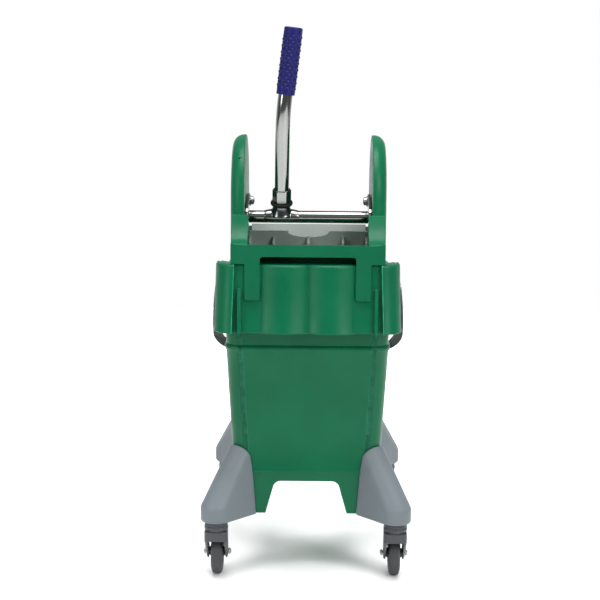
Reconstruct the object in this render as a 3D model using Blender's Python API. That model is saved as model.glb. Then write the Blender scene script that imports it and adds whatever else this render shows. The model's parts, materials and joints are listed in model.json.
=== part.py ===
"""Mop bucket with a down-press wringer, as an assembly of separate pieces.

Metres, +Z up. X runs across the bucket and the wringer end faces -Y.
Coordinates in the functions are the bucket's own; the "bucket_frame" empty moves the
whole object so that the middle of its bounding box stands on the origin.
"""
import math

import bmesh
import bpy
from mathutils import Matrix, Vector

# Clearances and wall thicknesses
GAP = 0.0003            # between pieces that touch
WALL = 0.0035           # moulded walls

# Tub: a tapered box with rounded corners
TUB_HALF_X = 0.131      # at the floor
TUB_SLOPE_X = 0.057
TUB_END_Y = 0.165       # at the feet
TUB_SLOPE_Y = 0.080
TUB_CORNER = 0.030
FOOT_Z = 0.110
FLOOR_Z = 0.190
FLOOR_THICK = 0.004
PAD_RISE = 0.001        # the pad under the floor stands this much below it
PAD_INSET = 0.020       # and ends this far inside the tub's outside
BEAD_Z = 0.418          # raised bead round the tub under the skirt
BEAD_OUT = 0.003

# Rim and skirt: high at the wringer end, lower along the sides and the far end
RIM_Z = 0.5735
RIM_DROP = 0.0485
SKIRT_Z = 0.4525
SKIRT_RISE = 0.0255
DROP_FROM_Y = -0.185
DROP_TO_Y = -0.115
SKIRT_HALF_X = 0.1605
SKIRT_FLARE = 0.0045
SKIRT_END_Y = 0.2315
SKIRT_CORNER = 0.034
LOBE = 0.014            # how far the lobes stand proud of the valleys
WING = 0.6              # the corners' share of that
HOOK_IN = 0.083         # the hook legs span these distances from the middle
HOOK_OUT = 0.1095
VALLEY_MARGIN = 0.003   # the skirt's valleys are this much wider on each side
SPOUT = 0.012
SPOUT_HALF = 0.060

# Legs and casters
SWIVEL_X = 0.160
SWIVEL_Y = 0.2065
BOSS_R = 0.0275
LEG_Z = 0.108
LEG_BOSS_TOP = 0.134
LEG_TOP = 0.239
LEG_TOP_DROP = 0.012    # from the tub's corner to the ends of the leg's top edge
LEG_SHELL = 0.0035      # how far the leg stands off the tub
LEG_WAIST_Z = 0.200
LEG_SCREW_R = 0.002
LEG_HOLE_R = 0.0023
SCREW_Y = 0.140
SCREW_Z = 0.160
TRAIL = 0.035
WHEEL_R = 0.040
WHEEL_W = 0.023
HUB_R = 0.031
STEM_R = 0.0055
AXLE_R = 0.004
BOLT_HEAD_R = 0.0068
RACE_R = 0.0217
FORK_TOP = 0.0912
FORK_HALF = 0.0205
CHEEK_T = 0.0035

# Bail handle
BAIL_Y = 0.050
BAIL_Z = 0.497
BAIL_HALF = 0.184
BAIL_SPLAY = 0.0112     # the arms are this much closer together at the pivots
BAIL_BEND = 0.055
SPLAY_SHARE = 0.75      # share of an arm over which it splays
BAIL_R = 0.006
BAIL_BAR_Z = 0.345
BOSS_X = 0.1665
EYE_T = 0.007
EYE_R = 0.0125
BAIL_SCREW_DEPTH = 0.0075       # the screws end inside the skirt's wall

# Wringer
CHEEK_IN = 0.1125
CHEEK_OUT = 0.1365
CHEEK_NEAR = -0.188
CHEEK_FAR = 0.027
CHEEK_BOTTOM = 0.448
ARCH_Z = 0.6815
EDGE_ROUND = 0.020
PANEL_Y = -0.236
PANEL_TOP = 0.607
PANEL_BACK = 0.5985     # the top plate slopes down to this height at the back
PANEL_LOW = 0.5865
TONGUE_LOW = 0.552
HOOK_Z = 0.5108
PANEL_T = 0.004
SHOULDER_IN = 0.1045
SHOULDER_OUT = 0.1335
SHOULDER_TOP = 0.655

# Lever, turning about the pivot, and the press plate it pushes
PIVOT_Y = -0.082
PIVOT_Z = 0.670
BAR_Y = -0.142
BAR_Z = 0.647
BAR_R = 0.011
CRANK_PIVOT_R = 0.013
CRANK_BAR_R = 0.0195
LEVER_X = -0.048
BEND = Vector((-0.045, -0.206, 0.829))
GRIP_LOW_Z = 0.8625
GRIP_TOP = Vector((-0.0275, -0.206, 0.977))
TUBE_R = 0.0125
GRIP_R = 0.0168
JAW_Y = -0.140
JAW_Z = 0.500
PLATE_HALF = 0.106
PLATE_T = 0.004
MOVING_TOP = 0.621
FIXED_LOW = Vector((0.0, -0.108, 0.465))
FIXED_TOP = Vector((0.0, -0.008, 0.6205))

# The casters trail behind, so the bounding box runs from the lobes to the rear wheels
NEAR_END = -(SKIRT_END_Y + LOBE)
FAR_END = SWIVEL_Y + TRAIL + WHEEL_R
FRAME_Y = -(NEAR_END + FAR_END) / 2

COLOURS = {
    "green": ((0.006, 0.140, 0.065, 1), 0.38, 0.0),
    "grey": ((0.180, 0.205, 0.215, 1), 0.45, 0.0),
    "fork_grey": ((0.110, 0.115, 0.120, 1), 0.45, 0.0),
    "tyre": ((0.075, 0.080, 0.080, 1), 0.70, 0.0),
    "hub": ((0.090, 0.095, 0.095, 1), 0.50, 0.0),
    "press": ((0.240, 0.260, 0.245, 1), 0.45, 0.0),
    "chrome": ((0.620, 0.620, 0.600, 1), 0.12, 1.0),
    "steel": ((0.420, 0.420, 0.420, 1), 0.30, 1.0),
    "black": ((0.015, 0.016, 0.017, 1), 0.50, 0.0),
    "blue": ((0.012, 0.016, 0.240, 1), 0.50, 0.0),
    "brass": ((0.560, 0.400, 0.160, 1), 0.35, 1.0),
}

X = Vector((1, 0, 0))
Z = Vector((0, 0, 1))


def material(name):
    found = bpy.data.materials.get(name)
    if found:
        return found
    colour, rough, metal = COLOURS[name]
    made = bpy.data.materials.new(name)
    made.use_nodes = True
    shader = made.node_tree.nodes["Principled BSDF"]
    shader.inputs["Base Color"].default_value = colour
    shader.inputs["Roughness"].default_value = rough
    shader.inputs["Metallic"].default_value = metal
    made.diffuse_color = colour
    return made


def empty(name, place, parent=None):
    """An empty at a bucket coordinate; joints turn or slide about these."""
    made = bpy.data.objects.new(name, None)
    bpy.context.collection.objects.link(made)
    made["place"] = tuple(place)
    if parent:
        made.parent = parent
        made.location = Vector(place) - Vector(parent["place"])
    return made


def solid(name, mesh, colour, parent):
    """One named piece from a bmesh in bucket coordinates, with its origin on its parent."""
    bmesh.ops.translate(mesh, verts=mesh.verts, vec=-Vector(parent["place"]))
    bmesh.ops.recalc_face_normals(mesh, faces=mesh.faces)
    data = bpy.data.meshes.new(name)
    mesh.to_mesh(data)
    mesh.free()
    data.materials.append(material(colour))
    data.shade_smooth()
    data.set_sharp_from_angle(angle=math.radians(35))
    made = bpy.data.objects.new(name, data)
    bpy.context.collection.objects.link(made)
    made.parent = parent
    return made


def cutter(name, mesh, parent):
    """A solid that only shapes another piece."""
    made = solid(name, mesh, "steel", parent)
    made.hide_render = True
    made.display_type = "WIRE"
    return made


def combine(piece, other, operation):
    step = piece.modifiers.new(other.name, "BOOLEAN")
    step.operation = operation
    step.object = other
    step.solver = "EXACT"


def loft(rings, loop=False):
    """Skin a row of equal rings; the ends are capped, or joined when loop is set."""
    mesh = bmesh.new()
    rows = [[mesh.verts.new(point) for point in ring] for ring in rings]
    pairs = list(zip(rows, rows[1:]))
    if loop:
        pairs.append((rows[-1], rows[0]))
    for low, high in pairs:
        for i in range(len(low)):
            j = (i + 1) % len(low)
            mesh.faces.new((low[i], low[j], high[j], high[i]))
    if not loop:
        mesh.faces.new(rows[0])
        mesh.faces.new(rows[-1])
    return mesh


def round_hole(radius, sides):
    """The corner radius of a faceted hole whose flats clear a shaft of this radius."""
    return (radius + GAP) / math.cos(math.pi / sides)


def circle(centre, axis, radius, sides, start=0.5):
    """Points round a circle about an axis direction; start is the first point's share of a side."""
    turn = Z.rotation_difference(Vector(axis)).to_matrix()
    points = []
    for i in range(sides):
        angle = 2 * math.pi * (i + start) / sides
        flat = Vector((math.cos(angle), math.sin(angle), 0)) * radius
        points.append(Vector(centre) + turn @ flat)
    return points


def turned(centre, axis, profile, sides, hollow=False, start=0.5):
    """Rings of (distance along the axis, radius) about an axis; hollow profiles close on themselves."""
    axis = Vector(axis).normalized()
    rings = [circle(Vector(centre) + axis * along, axis, radius, sides, start) for along, radius in profile]
    return loft(rings, loop=hollow)


def prism(outline, plane, low, high):
    """Extrude a flat outline: plane "yz" runs along X, "xz" along Y and "xy" along Z."""
    order = {"yz": lambda a, b, c: (c, a, b), "xz": lambda a, b, c: (a, c, b), "xy": lambda a, b, c: (a, b, c)}
    put = order[plane]
    return loft([[Vector(put(a, b, c)) for a, b in outline] for c in (low, high)])


def box(low, high):
    corners = [(low[0], low[1]), (high[0], low[1]), (high[0], high[1]), (low[0], high[1])]
    return prism(corners, "xy", low[2], high[2])


def join(*meshes):
    """Put separate closed shells in one bmesh, for a cutter with several teeth."""
    whole = bmesh.new()
    for part in meshes:
        data = bpy.data.meshes.new("part")
        part.to_mesh(data)
        part.free()
        whole.from_mesh(data)
        bpy.data.meshes.remove(data)
    return whole


def hull(points):
    mesh = bmesh.new()
    for point in points:
        mesh.verts.new(point)
    made = bmesh.ops.convex_hull(mesh, input=mesh.verts)
    loose = [item for item in made["geom_interior"] if isinstance(item, bmesh.types.BMVert)]
    bmesh.ops.delete(mesh, geom=loose, context="VERTS")
    bmesh.ops.dissolve_limit(mesh, angle_limit=math.radians(1), verts=mesh.verts, edges=mesh.edges)
    return mesh


def smooth_step(low, high, value):
    share = min(1.0, max(0.0, (value - low) / (high - low)))
    return share * share * (3 - 2 * share)


def arc(centre, radius, start, end, steps):
    """Points of a flat arc, with angles in degrees."""
    points = []
    for i in range(steps + 1):
        angle = math.radians(start + (end - start) * i / steps)
        points.append((centre[0] + radius * math.cos(angle), centre[1] + radius * math.sin(angle)))
    return points


def inset(outline, distance):
    """Move every side of a convex anticlockwise outline inward."""
    moved = []
    count = len(outline)
    for i, point in enumerate(outline):
        before = Vector(point) - Vector(outline[i - 1])
        after = Vector(outline[(i + 1) % count]) - Vector(point)
        in_a = Vector((-before.y, before.x)).normalized()
        in_b = Vector((-after.y, after.x)).normalized()
        middle = (in_a + in_b).normalized()
        moved.append(tuple(Vector(point) + middle * distance / max(0.5, middle.dot(in_a))))
    return moved


# ---------------------------------------------------------------- tub

def tub_half(z):
    return TUB_HALF_X + TUB_SLOPE_X * (z - FLOOR_Z)


def tub_end(z):
    return TUB_END_Y + TUB_SLOPE_Y * (z - FOOT_Z)


def near_plan():
    """(share of the flat width, share of the lobe's depth) across half of the near side.

    A round lobe, a flat valley for the hook leg, then the start of the corner's wing.
    """
    flat = SKIRT_HALF_X - SKIRT_CORNER
    valley_in = (HOOK_IN - VALLEY_MARGIN) / flat
    valley_out = (HOOK_OUT + VALLEY_MARGIN) / flat
    steps = 10
    plan = [(valley_in * i / steps, math.sin(math.pi * i / steps) ** 0.8) for i in range(steps)]
    return plan + [(valley_in, 0.0), (valley_out, 0.0), ((valley_out + 1) / 2, 0.35), (1.0, WING)]


def spout_shape(x):
    return math.cos(math.pi * x / (2 * SPOUT_HALF)) ** 2 if abs(x) < SPOUT_HALF else 0.0


def ring(half_x, end_y, corner, height, lobe=0.0, spout=0.0):
    """A rounded rectangle, anticlockwise from the near left; height may depend on the place."""
    side, far, bend = 12, 12, 5
    flat_x = half_x - corner
    flat_y = end_y - corner
    half = near_plan()
    near = [(-share, depth) for share, depth in half[:0:-1]] + half
    plan = [(flat_x * share, -end_y, depth) for share, depth in near[:-1]]
    plan += [(x, y, WING) for x, y in arc((flat_x, -flat_y), corner, -90, 0, bend)[:-1]]
    plan += [(half_x, -flat_y + 2 * flat_y * i / side, 0.0) for i in range(side)]
    plan += [(x, y, 0.0) for x, y in arc((flat_x, flat_y), corner, 0, 90, bend)[:-1]]
    plan += [(flat_x - 2 * flat_x * i / far, end_y, 0.0) for i in range(far)]
    plan += [(x, y, 0.0) for x, y in arc((-flat_x, flat_y), corner, 90, 180, bend)[:-1]]
    plan += [(-half_x, flat_y - 2 * flat_y * i / side, 0.0) for i in range(side)]
    plan += [(x, y, WING) for x, y in arc((-flat_x, -flat_y), corner, 180, 270, bend)[:-1]]
    points = []
    for x, y, depth in plan:
        weight = min(1.0, max(0.0, (abs(y) - flat_y) / corner))
        z = height(x, y) if callable(height) else height
        y += -lobe * depth * weight if y < 0 else spout * spout_shape(x) * weight
        points.append(Vector((x, y, z)))
    return points


def rim_height(below):
    """The rim's top less a distance: high at the wringer end, lower past the step in the sides."""
    def height(x, y):
        dip = 0.007 * spout_shape(x) if y > 0 else 0.0
        return RIM_Z - RIM_DROP * smooth_step(DROP_FROM_Y, DROP_TO_Y, y) - dip - below
    return height


def skirt_height(x, y):
    return SKIRT_Z + SKIRT_RISE * smooth_step(DROP_FROM_Y, DROP_TO_Y, y)


def tub_ring(z, out=0.0):
    return ring(tub_half(z) + out, tub_end(z) + out, TUB_CORNER + out, z)


def tub_rings():
    """One run of rings: under the floor, down the feet, up outside, over the skirt and down inside."""
    roof = RIM_Z - 0.008
    wall_x = tub_half(roof)
    wall_y = tub_end(roof)
    skirt_x = SKIRT_HALF_X
    skirt_y = SKIRT_END_Y
    flare = SKIRT_FLARE
    corner = SKIRT_CORNER
    lobe = {"lobe": LOBE, "spout": SPOUT}
    return [
        tub_ring(FLOOR_Z - FLOOR_THICK - PAD_RISE, -PAD_INSET),
        tub_ring(FLOOR_Z - FLOOR_THICK, -PAD_INSET),
        tub_ring(FLOOR_Z - FLOOR_THICK, -0.004),
        tub_ring(FOOT_Z, -0.004),
        tub_ring(FOOT_Z),
        tub_ring(FLOOR_Z - 0.001),
        tub_ring(FLOOR_Z + 0.0005, 0.0012),
        tub_ring(0.30, 0.0012),
        tub_ring(BEAD_Z - 0.006, 0.0012),
        tub_ring(BEAD_Z - 0.003, BEAD_OUT),
        tub_ring(BEAD_Z + 0.001, BEAD_OUT),
        tub_ring(BEAD_Z + 0.004),
        ring(wall_x, wall_y, TUB_CORNER, rim_height(0.008), spout=SPOUT * 0.5),
        ring(skirt_x - WALL, skirt_y - WALL, corner - WALL, rim_height(0.0065), **lobe),
        ring(skirt_x + flare - WALL, skirt_y - WALL, corner - WALL, skirt_height, **lobe),
        ring(skirt_x + flare, skirt_y, corner, skirt_height, **lobe),
        ring(skirt_x + 0.0006, skirt_y, corner, rim_height(0.005), **lobe),
        ring(skirt_x - 0.0012, skirt_y - 0.0018, corner - 0.0018, rim_height(0.0014), **lobe),
        ring(skirt_x - 0.005, skirt_y - 0.005, corner - 0.005, rim_height(0.0), **lobe),
        ring(wall_x - WALL + 0.003, wall_y - WALL + 0.003, TUB_CORNER, rim_height(0.0), spout=SPOUT * 0.5),
        ring(wall_x - WALL, wall_y - WALL, TUB_CORNER - WALL, rim_height(0.003), spout=SPOUT * 0.5),
        tub_ring(BEAD_Z, -WALL),
        tub_ring(0.225, -WALL),
        tub_ring(FLOOR_Z + 0.007, -WALL - 0.003),
        tub_ring(FLOOR_Z, -WALL - 0.013),
    ]


def foot_arch(half_low, half_high, top):
    """A gap with sloping sides and round upper corners, cut up from below the feet."""
    half_top = half_high - 0.014
    right = [(half_low, FOOT_Z - 0.01), (half_high, top - 0.014), (half_high - 0.005, top - 0.0045), (half_top, top)]
    return right + [(-a, b) for a, b in reversed(right)]


def make_bucket(frame):
    bucket = solid("bucket", loft(tub_rings()), "green", frame)
    reach = tub_end(RIM_Z) + 0.05
    across = prism(foot_arch(0.0765, 0.060, 0.171), "xz", -reach, reach)
    along = prism(foot_arch(0.105, 0.088, 0.171), "yz", -reach, reach)
    combine(bucket, cutter("end_arches", across, frame), "DIFFERENCE")
    combine(bucket, cutter("side_arches", along, frame), "DIFFERENCE")
    for side, word in ((-1, "left"), (1, "right")):
        start = side * (SKIRT_HALF_X - 0.001)
        boss = turned((start, BAIL_Y, BAIL_Z), X * side, [(0, 0.017), (BOSS_X - SKIRT_HALF_X + 0.001, 0.015)], 16)
        combine(bucket, cutter("bail_boss_" + word, boss, frame), "UNION")
        hole_end = side * (BOSS_X - BAIL_SCREW_DEPTH - 0.0005)
        hole = turned((hole_end, BAIL_Y, BAIL_Z), X * side, [(0, 0.0035), (0.03, 0.0035)], 12)
        combine(bucket, cutter("bail_hole_" + word, hole, frame), "DIFFERENCE")
    screw_holes = [turned(leg_screw_at(side, end), X * side, [(-0.003, LEG_HOLE_R), (0.010, LEG_HOLE_R)], 8)
                   for side in (-1, 1) for end in (-1, 1)]
    combine(bucket, cutter("leg_screw_holes", join(*screw_holes), frame), "DIFFERENCE")


# ---------------------------------------------------------------- legs and casters

def corner_name(side, end):
    return ("front_" if end < 0 else "rear_") + ("left" if side < 0 else "right")


def leg_points(side, end):
    """The leg is the hull of a band round the tub's corner and the round boss over the caster."""
    points = []
    top_x = tub_half(LEG_TOP) + 0.0012 - TUB_CORNER
    top_y = tub_end(LEG_TOP) + 0.0012 - TUB_CORNER
    for a, b in arc((top_x, top_y), TUB_CORNER + LEG_SHELL, 0, 90, 5):
        turn = math.degrees(math.atan2(b - top_y, a - top_x))
        points.append((a, b, LEG_TOP - LEG_TOP_DROP * abs(turn - 45) / 45))
    low = LEG_Z + 0.001
    face_x = tub_half(low) + LEG_SHELL
    face_y = tub_end(low) + LEG_SHELL
    waist = LEG_WAIST_Z
    points += [(0.091, face_y, low), (face_x, 0.118, low), (0.091, face_y - 0.012, low)]
    points += [(face_x - 0.012, 0.118, low), (0.099, tub_end(waist) + LEG_SHELL, waist)]
    points.append((tub_half(waist) + LEG_SHELL, 0.126, waist))
    for z, radius in ((LEG_Z, BOSS_R - 0.003), (LEG_Z + 0.003, BOSS_R), (LEG_BOSS_TOP, BOSS_R), (0.145, 0.021)):
        for a, b in arc((SWIVEL_X, SWIVEL_Y), radius, 0, 360, 16)[:-1]:
            points.append((a, b, z))
    return [Vector((side * a, end * b, c)) for a, b, c in points]


def leg_screw_at(side, end):
    """Where a leg's screw meets the inside of the tub's foot."""
    return Vector((side * (tub_half(SCREW_Z) - 0.0052), end * SCREW_Y, SCREW_Z))


def make_leg(frame, side, end, envelope):
    name = corner_name(side, end)
    leg = solid("leg_" + name, hull(leg_points(side, end)), "grey", frame)
    combine(leg, envelope, "DIFFERENCE")
    stem_hole = [(0, STEM_R + GAP), (0.046, STEM_R + GAP)]
    bore = turned((side * SWIVEL_X, end * SWIVEL_Y, LEG_Z - 0.01), Z, stem_hole, 12)
    screw_at = leg_screw_at(side, end)
    screw_hole = turned(screw_at, X * side, [(-0.01, LEG_HOLE_R), (0.015, LEG_HOLE_R)], 8)
    combine(leg, cutter("leg_holes_" + name, join(bore, screw_hole), frame), "DIFFERENCE")
    profile = [(-0.0030, 0.0035), (-0.0008, 0.0052), (-GAP, 0.0052), (-GAP, LEG_SCREW_R), (0.013, LEG_SCREW_R)]
    screw = turned(screw_at, X * side, profile, 8)
    solid("leg_screw_" + name, screw, "steel", frame)


def make_caster(frame, side, end):
    """A race and kingpin in the leg, a fork that swivels on it, and a wheel that turns in the fork."""
    name = corner_name(side, end)
    x = side * SWIVEL_X
    y = end * SWIVEL_Y
    race = [(0.0755, 0.0075), (0.0785, 0.0085), (0.0785, 0.005), (FORK_TOP + GAP, 0.005),
            (FORK_TOP + GAP, RACE_R - 0.001), (0.0960, RACE_R), (0.1000, RACE_R), (0.1030, RACE_R - 0.0016),
            (LEG_Z - GAP, RACE_R - 0.0016), (LEG_Z - GAP, STEM_R), (0.1430, STEM_R)]
    solid("caster_race_" + name, turned((x, y, 0), Z, race, 16), "fork_grey", frame)

    swivel = empty("swivel_" + name, (x, y, FORK_TOP), frame)
    centre = Vector((x, y + TRAIL, WHEEL_R))
    outline = [(y + 0.0205, FORK_TOP), (y - 0.0205, FORK_TOP), (y - 0.0205, 0.078)]
    outline += arc((centre.y, centre.z), 0.0115, 215, 385, 8)
    fork = solid("caster_fork_" + name, prism(outline, "yz", x - FORK_HALF, x + FORK_HALF), "fork_grey", swivel)
    well = box((x - FORK_HALF + CHEEK_T, y - 0.03, 0.02), (x + FORK_HALF - CHEEK_T, y + 0.08, 0.0825))
    kingpin_bore = turned((x, y, 0.07), Z, [(0, round_hole(0.005, 16)), (0.03, round_hole(0.005, 16))], 16)
    axle_bore = turned(centre - X * 0.03, X, [(0, round_hole(AXLE_R, 12)), (0.06, round_hole(AXLE_R, 12))], 12)
    combine(fork, cutter("fork_well_" + name, well, swivel), "DIFFERENCE")
    combine(fork, cutter("fork_bores_" + name, join(kingpin_bore, axle_bore), swivel), "DIFFERENCE")

    axis = empty("wheel_axis_" + name, centre, swivel)
    half = WHEEL_W / 2
    hub = [(-half, round_hole(AXLE_R, 16)), (-half, 0.0095), (-half + 0.003, 0.011),
           (-half + 0.003, HUB_R - 0.004), (-half + 0.0008, HUB_R)]
    hub += [(-along, radius) for along, radius in reversed(hub)]
    solid("wheel_hub_" + name, turned(centre, X, hub, 16, hollow=True), "hub", axis)
    tyre = [(-half + 0.0004, round_hole(HUB_R, 24)), (-half, WHEEL_R - 0.005), (-half + 0.0015, WHEEL_R - 0.0018),
            (-half + 0.005, WHEEL_R)]
    tyre += [(-along, radius) for along, radius in reversed(tyre)]
    solid("tyre_" + name, turned(centre, X, tyre, 24, hollow=True), "tyre", axis)
    reach = FORK_HALF + GAP
    head = reach + 0.0045
    bolt = [(-head, AXLE_R), (-reach, AXLE_R), (reach, AXLE_R), (reach, BOLT_HEAD_R), (head, BOLT_HEAD_R)]
    solid("axle_bolt_" + name, turned(centre, X, bolt, 12), "steel", swivel)


# ---------------------------------------------------------------- bail handle

def make_bail(frame):
    """A hoop hinged on the sides of the skirt; it hangs round the far end of the tub."""
    axis = empty("bail_axis", (0, BAIL_Y, BAIL_Z), frame)
    bar_y = tub_end(BAIL_BAR_Z) + 0.0012 + BAIL_R + 0.001
    pivot = Vector((BAIL_HALF - BAIL_SPLAY, BAIL_Y, BAIL_Z))
    low = Vector((BAIL_HALF, bar_y, BAIL_BAR_Z))
    fall = Vector((0, low.y - pivot.y, low.z - pivot.z))
    along = fall.normalized()
    right = []
    for reach in (0.0095, 0.026, 0.050, 0.080, 0.115, fall.length - BAIL_BEND):
        share = min(1, reach / fall.length / SPLAY_SHARE)
        right.append(pivot + along * reach + X * BAIL_SPLAY * math.sin(math.pi / 2 * share))
    for i in range(1, 6):
        turn = math.pi / 2 * i / 6
        right.append(low - along * BAIL_BEND * (1 - math.sin(turn)) - X * BAIL_BEND * (1 - math.cos(turn)))
    right.append(low - X * BAIL_BEND)
    path = right + [Vector((-p.x, p.y, p.z)) for p in reversed(right)]
    handle = solid("bail_handle", sweep(path, BAIL_R, 8), "black", axis)
    for side, word in ((-1, "left"), (1, "right")):
        face = side * (BOSS_X + GAP)
        eye = turned((face, BAIL_Y, BAIL_Z), X * side, [(0, EYE_R), (EYE_T, EYE_R)], 16)
        combine(handle, cutter("bail_eye_" + word, eye, axis), "UNION")
        hole = turned((face - side * 0.005, BAIL_Y, BAIL_Z), X * side, [(0, 0.0045), (0.03, 0.0045)], 16)
        combine(handle, cutter("bail_eye_hole_" + word, hole, axis), "DIFFERENCE")
        outer = EYE_T + 2 * GAP
        screw = [(-BAIL_SCREW_DEPTH, 0.0031), (GAP, 0.0031), (GAP, 0.0041), (outer, 0.0041), (outer, 0.0085),
                 (outer + 0.0018, 0.0085), (outer + 0.0030, 0.0060)]
        place = (side * BOSS_X, BAIL_Y, BAIL_Z)
        solid("bail_screw_" + word, turned(place, X * side, screw, 16), "steel", frame)


def sweep(path, radius, sides, bore=0.0):
    """A round bar along a path; with a bore it is a tube, open at both ends."""
    rows = []
    for i, point in enumerate(path):
        before = path[max(0, i - 1)]
        after = path[min(len(path) - 1, i + 1)]
        rows.append((point, (after - before).normalized()))
    turn = Z.rotation_difference(rows[0][1]).to_matrix()
    outer = []
    inner = []
    heading = rows[0][1]
    for point, direction in rows:
        turn = heading.rotation_difference(direction).to_matrix() @ turn
        heading = direction
        spokes = [turn @ Vector((math.cos(a), math.sin(a), 0)) for a in
                  (2 * math.pi * (k + 0.5) / sides for k in range(sides))]
        outer.append([point + spoke * radius for spoke in spokes])
        inner.append([point + spoke * bore for spoke in spokes])
    if bore:
        return loft(outer + inner[::-1], loop=True)
    return loft(outer)


# ---------------------------------------------------------------- wringer frame

def cheek_outline():
    """Side view (Y, Z) of a cheek, anticlockwise from its lower near corner."""
    radius = (CHEEK_FAR - CHEEK_NEAR) / 2
    middle = (CHEEK_FAR + CHEEK_NEAR) / 2
    shape = [(CHEEK_NEAR + 0.010, CHEEK_BOTTOM), (-0.072, CHEEK_BOTTOM), (CHEEK_FAR, 0.605)]
    shape += arc((middle, ARCH_Z), radius, 0, 180, 20)
    shape += [(CHEEK_NEAR, 0.530)]
    return shape


def cheek_ring(across, inward):
    return [Vector((across, y, z)) for y, z in inset(cheek_outline(), inward)]


def make_cheek(lift, side, word):
    """A hollow moulded side wall with a rounded outer edge, open along its bottom."""
    inner = CHEEK_IN
    rows = [(inner, 0.002), (inner + 0.0012, 0.0)]
    for angle in (0, 30, 60, 90):
        turn = math.radians(angle)
        rows.append((CHEEK_OUT - EDGE_ROUND * (1 - math.sin(turn)), EDGE_ROUND * (1 - math.cos(turn))))
    cheek = solid("cheek_" + word, loft([cheek_ring(side * a, b) for a, b in rows]), "green", lift)
    hollow_rows = [(inner + WALL, 0.006), (CHEEK_OUT - 0.012, 0.007), (CHEEK_OUT - WALL, 0.020)]
    hollow = loft([cheek_ring(side * a, b) for a, b in hollow_rows])
    slot = box((min(side * (inner + WALL), side * (CHEEK_OUT - 0.008)), -0.160, CHEEK_BOTTOM - 0.01),
               (max(side * (inner + WALL), side * (CHEEK_OUT - 0.008)), -0.090, CHEEK_BOTTOM + 0.03))
    combine(cheek, cutter("cheek_hollow_" + word, hollow, lift), "DIFFERENCE")
    combine(cheek, cutter("cheek_slot_" + word, slot, lift), "DIFFERENCE")
    start = side * (inner - 0.01)
    pivot_hole = turned((start, PIVOT_Y, PIVOT_Z), X * side, [(0, 0.0083), (0.05, 0.0083)], 16)
    pin_hole = turned((start, JAW_Y, JAW_Z), X * side, [(0, 0.0044), (0.0165, 0.0044)], 12)
    combine(cheek, cutter("cheek_holes_" + word, join(pivot_hole, pin_hole), lift), "DIFFERENCE")
    rest_z = RIM_Z - RIM_DROP + GAP
    low = (min(side * (CHEEK_OUT - 0.002), side * 0.154), -0.060, rest_z)
    high = (max(side * (CHEEK_OUT - 0.002), side * 0.154), -0.015, rest_z + 0.006)
    combine(cheek, cutter("cheek_rest_" + word, box(low, high), lift), "UNION")


def make_hook_panel(lift):
    """The plate over the near rim, with two hook legs that hang in the skirt's valleys."""
    seat = RIM_Z + GAP
    right = [(HOOK_OUT, PANEL_TOP), (HOOK_OUT, HOOK_Z + 0.003), (HOOK_OUT - 0.003, HOOK_Z),
             (HOOK_IN + 0.003, HOOK_Z), (HOOK_IN, HOOK_Z + 0.003), (HOOK_IN, PANEL_LOW - 0.005),
             (HOOK_IN - 0.0015, PANEL_LOW - 0.0015), (HOOK_IN - 0.005, PANEL_LOW)]
    outline = right + [(-a, b) for a, b in reversed(right)]
    panel = solid("hook_panel", prism(outline, "xz", PANEL_Y, PANEL_Y + PANEL_T), "green", lift)
    front = PANEL_Y + 0.001
    back = CHEEK_NEAR - GAP
    slope = [(front, PANEL_TOP), (front, PANEL_TOP - PANEL_T), (back, PANEL_BACK - PANEL_T),
             (back, PANEL_BACK)]
    top = prism(slope, "yz", -HOOK_OUT, HOOK_OUT)
    tongue = box((GAP - CHEEK_IN, CHEEK_NEAR - 0.002, TONGUE_LOW),
                 (CHEEK_IN - GAP, CHEEK_NEAR + 0.004, PANEL_BACK))
    ramp = [(front, seat), (back, seat), (back, SHOULDER_TOP), (back - 0.012, 0.636), (back - 0.028, 0.618),
            (front, 0.609)]
    combine(panel, cutter("panel_top", top, lift), "UNION")
    for side, word in ((-1, "left"), (1, "right")):
        shoulder = prism(ramp, "yz", *sorted((side * SHOULDER_IN, side * SHOULDER_OUT)))
        combine(panel, cutter("panel_shoulder_" + word, shoulder, lift), "UNION")
    combine(panel, cutter("panel_tongue", tongue, lift), "UNION")


def slots(columns, rows, place, turn, half_w, half_h, depth):
    """Rectangular drain slots in a plate: columns and rows are distances along the turned axes."""
    cuts = []
    for a in columns:
        for b in rows:
            cut = box((a - half_w, -depth, b - half_h), (a + half_w, depth, b + half_h))
            bmesh.ops.transform(cut, matrix=Matrix.Translation(place) @ turn, verts=cut.verts)
            cuts.append(cut)
    return join(*cuts)


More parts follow.
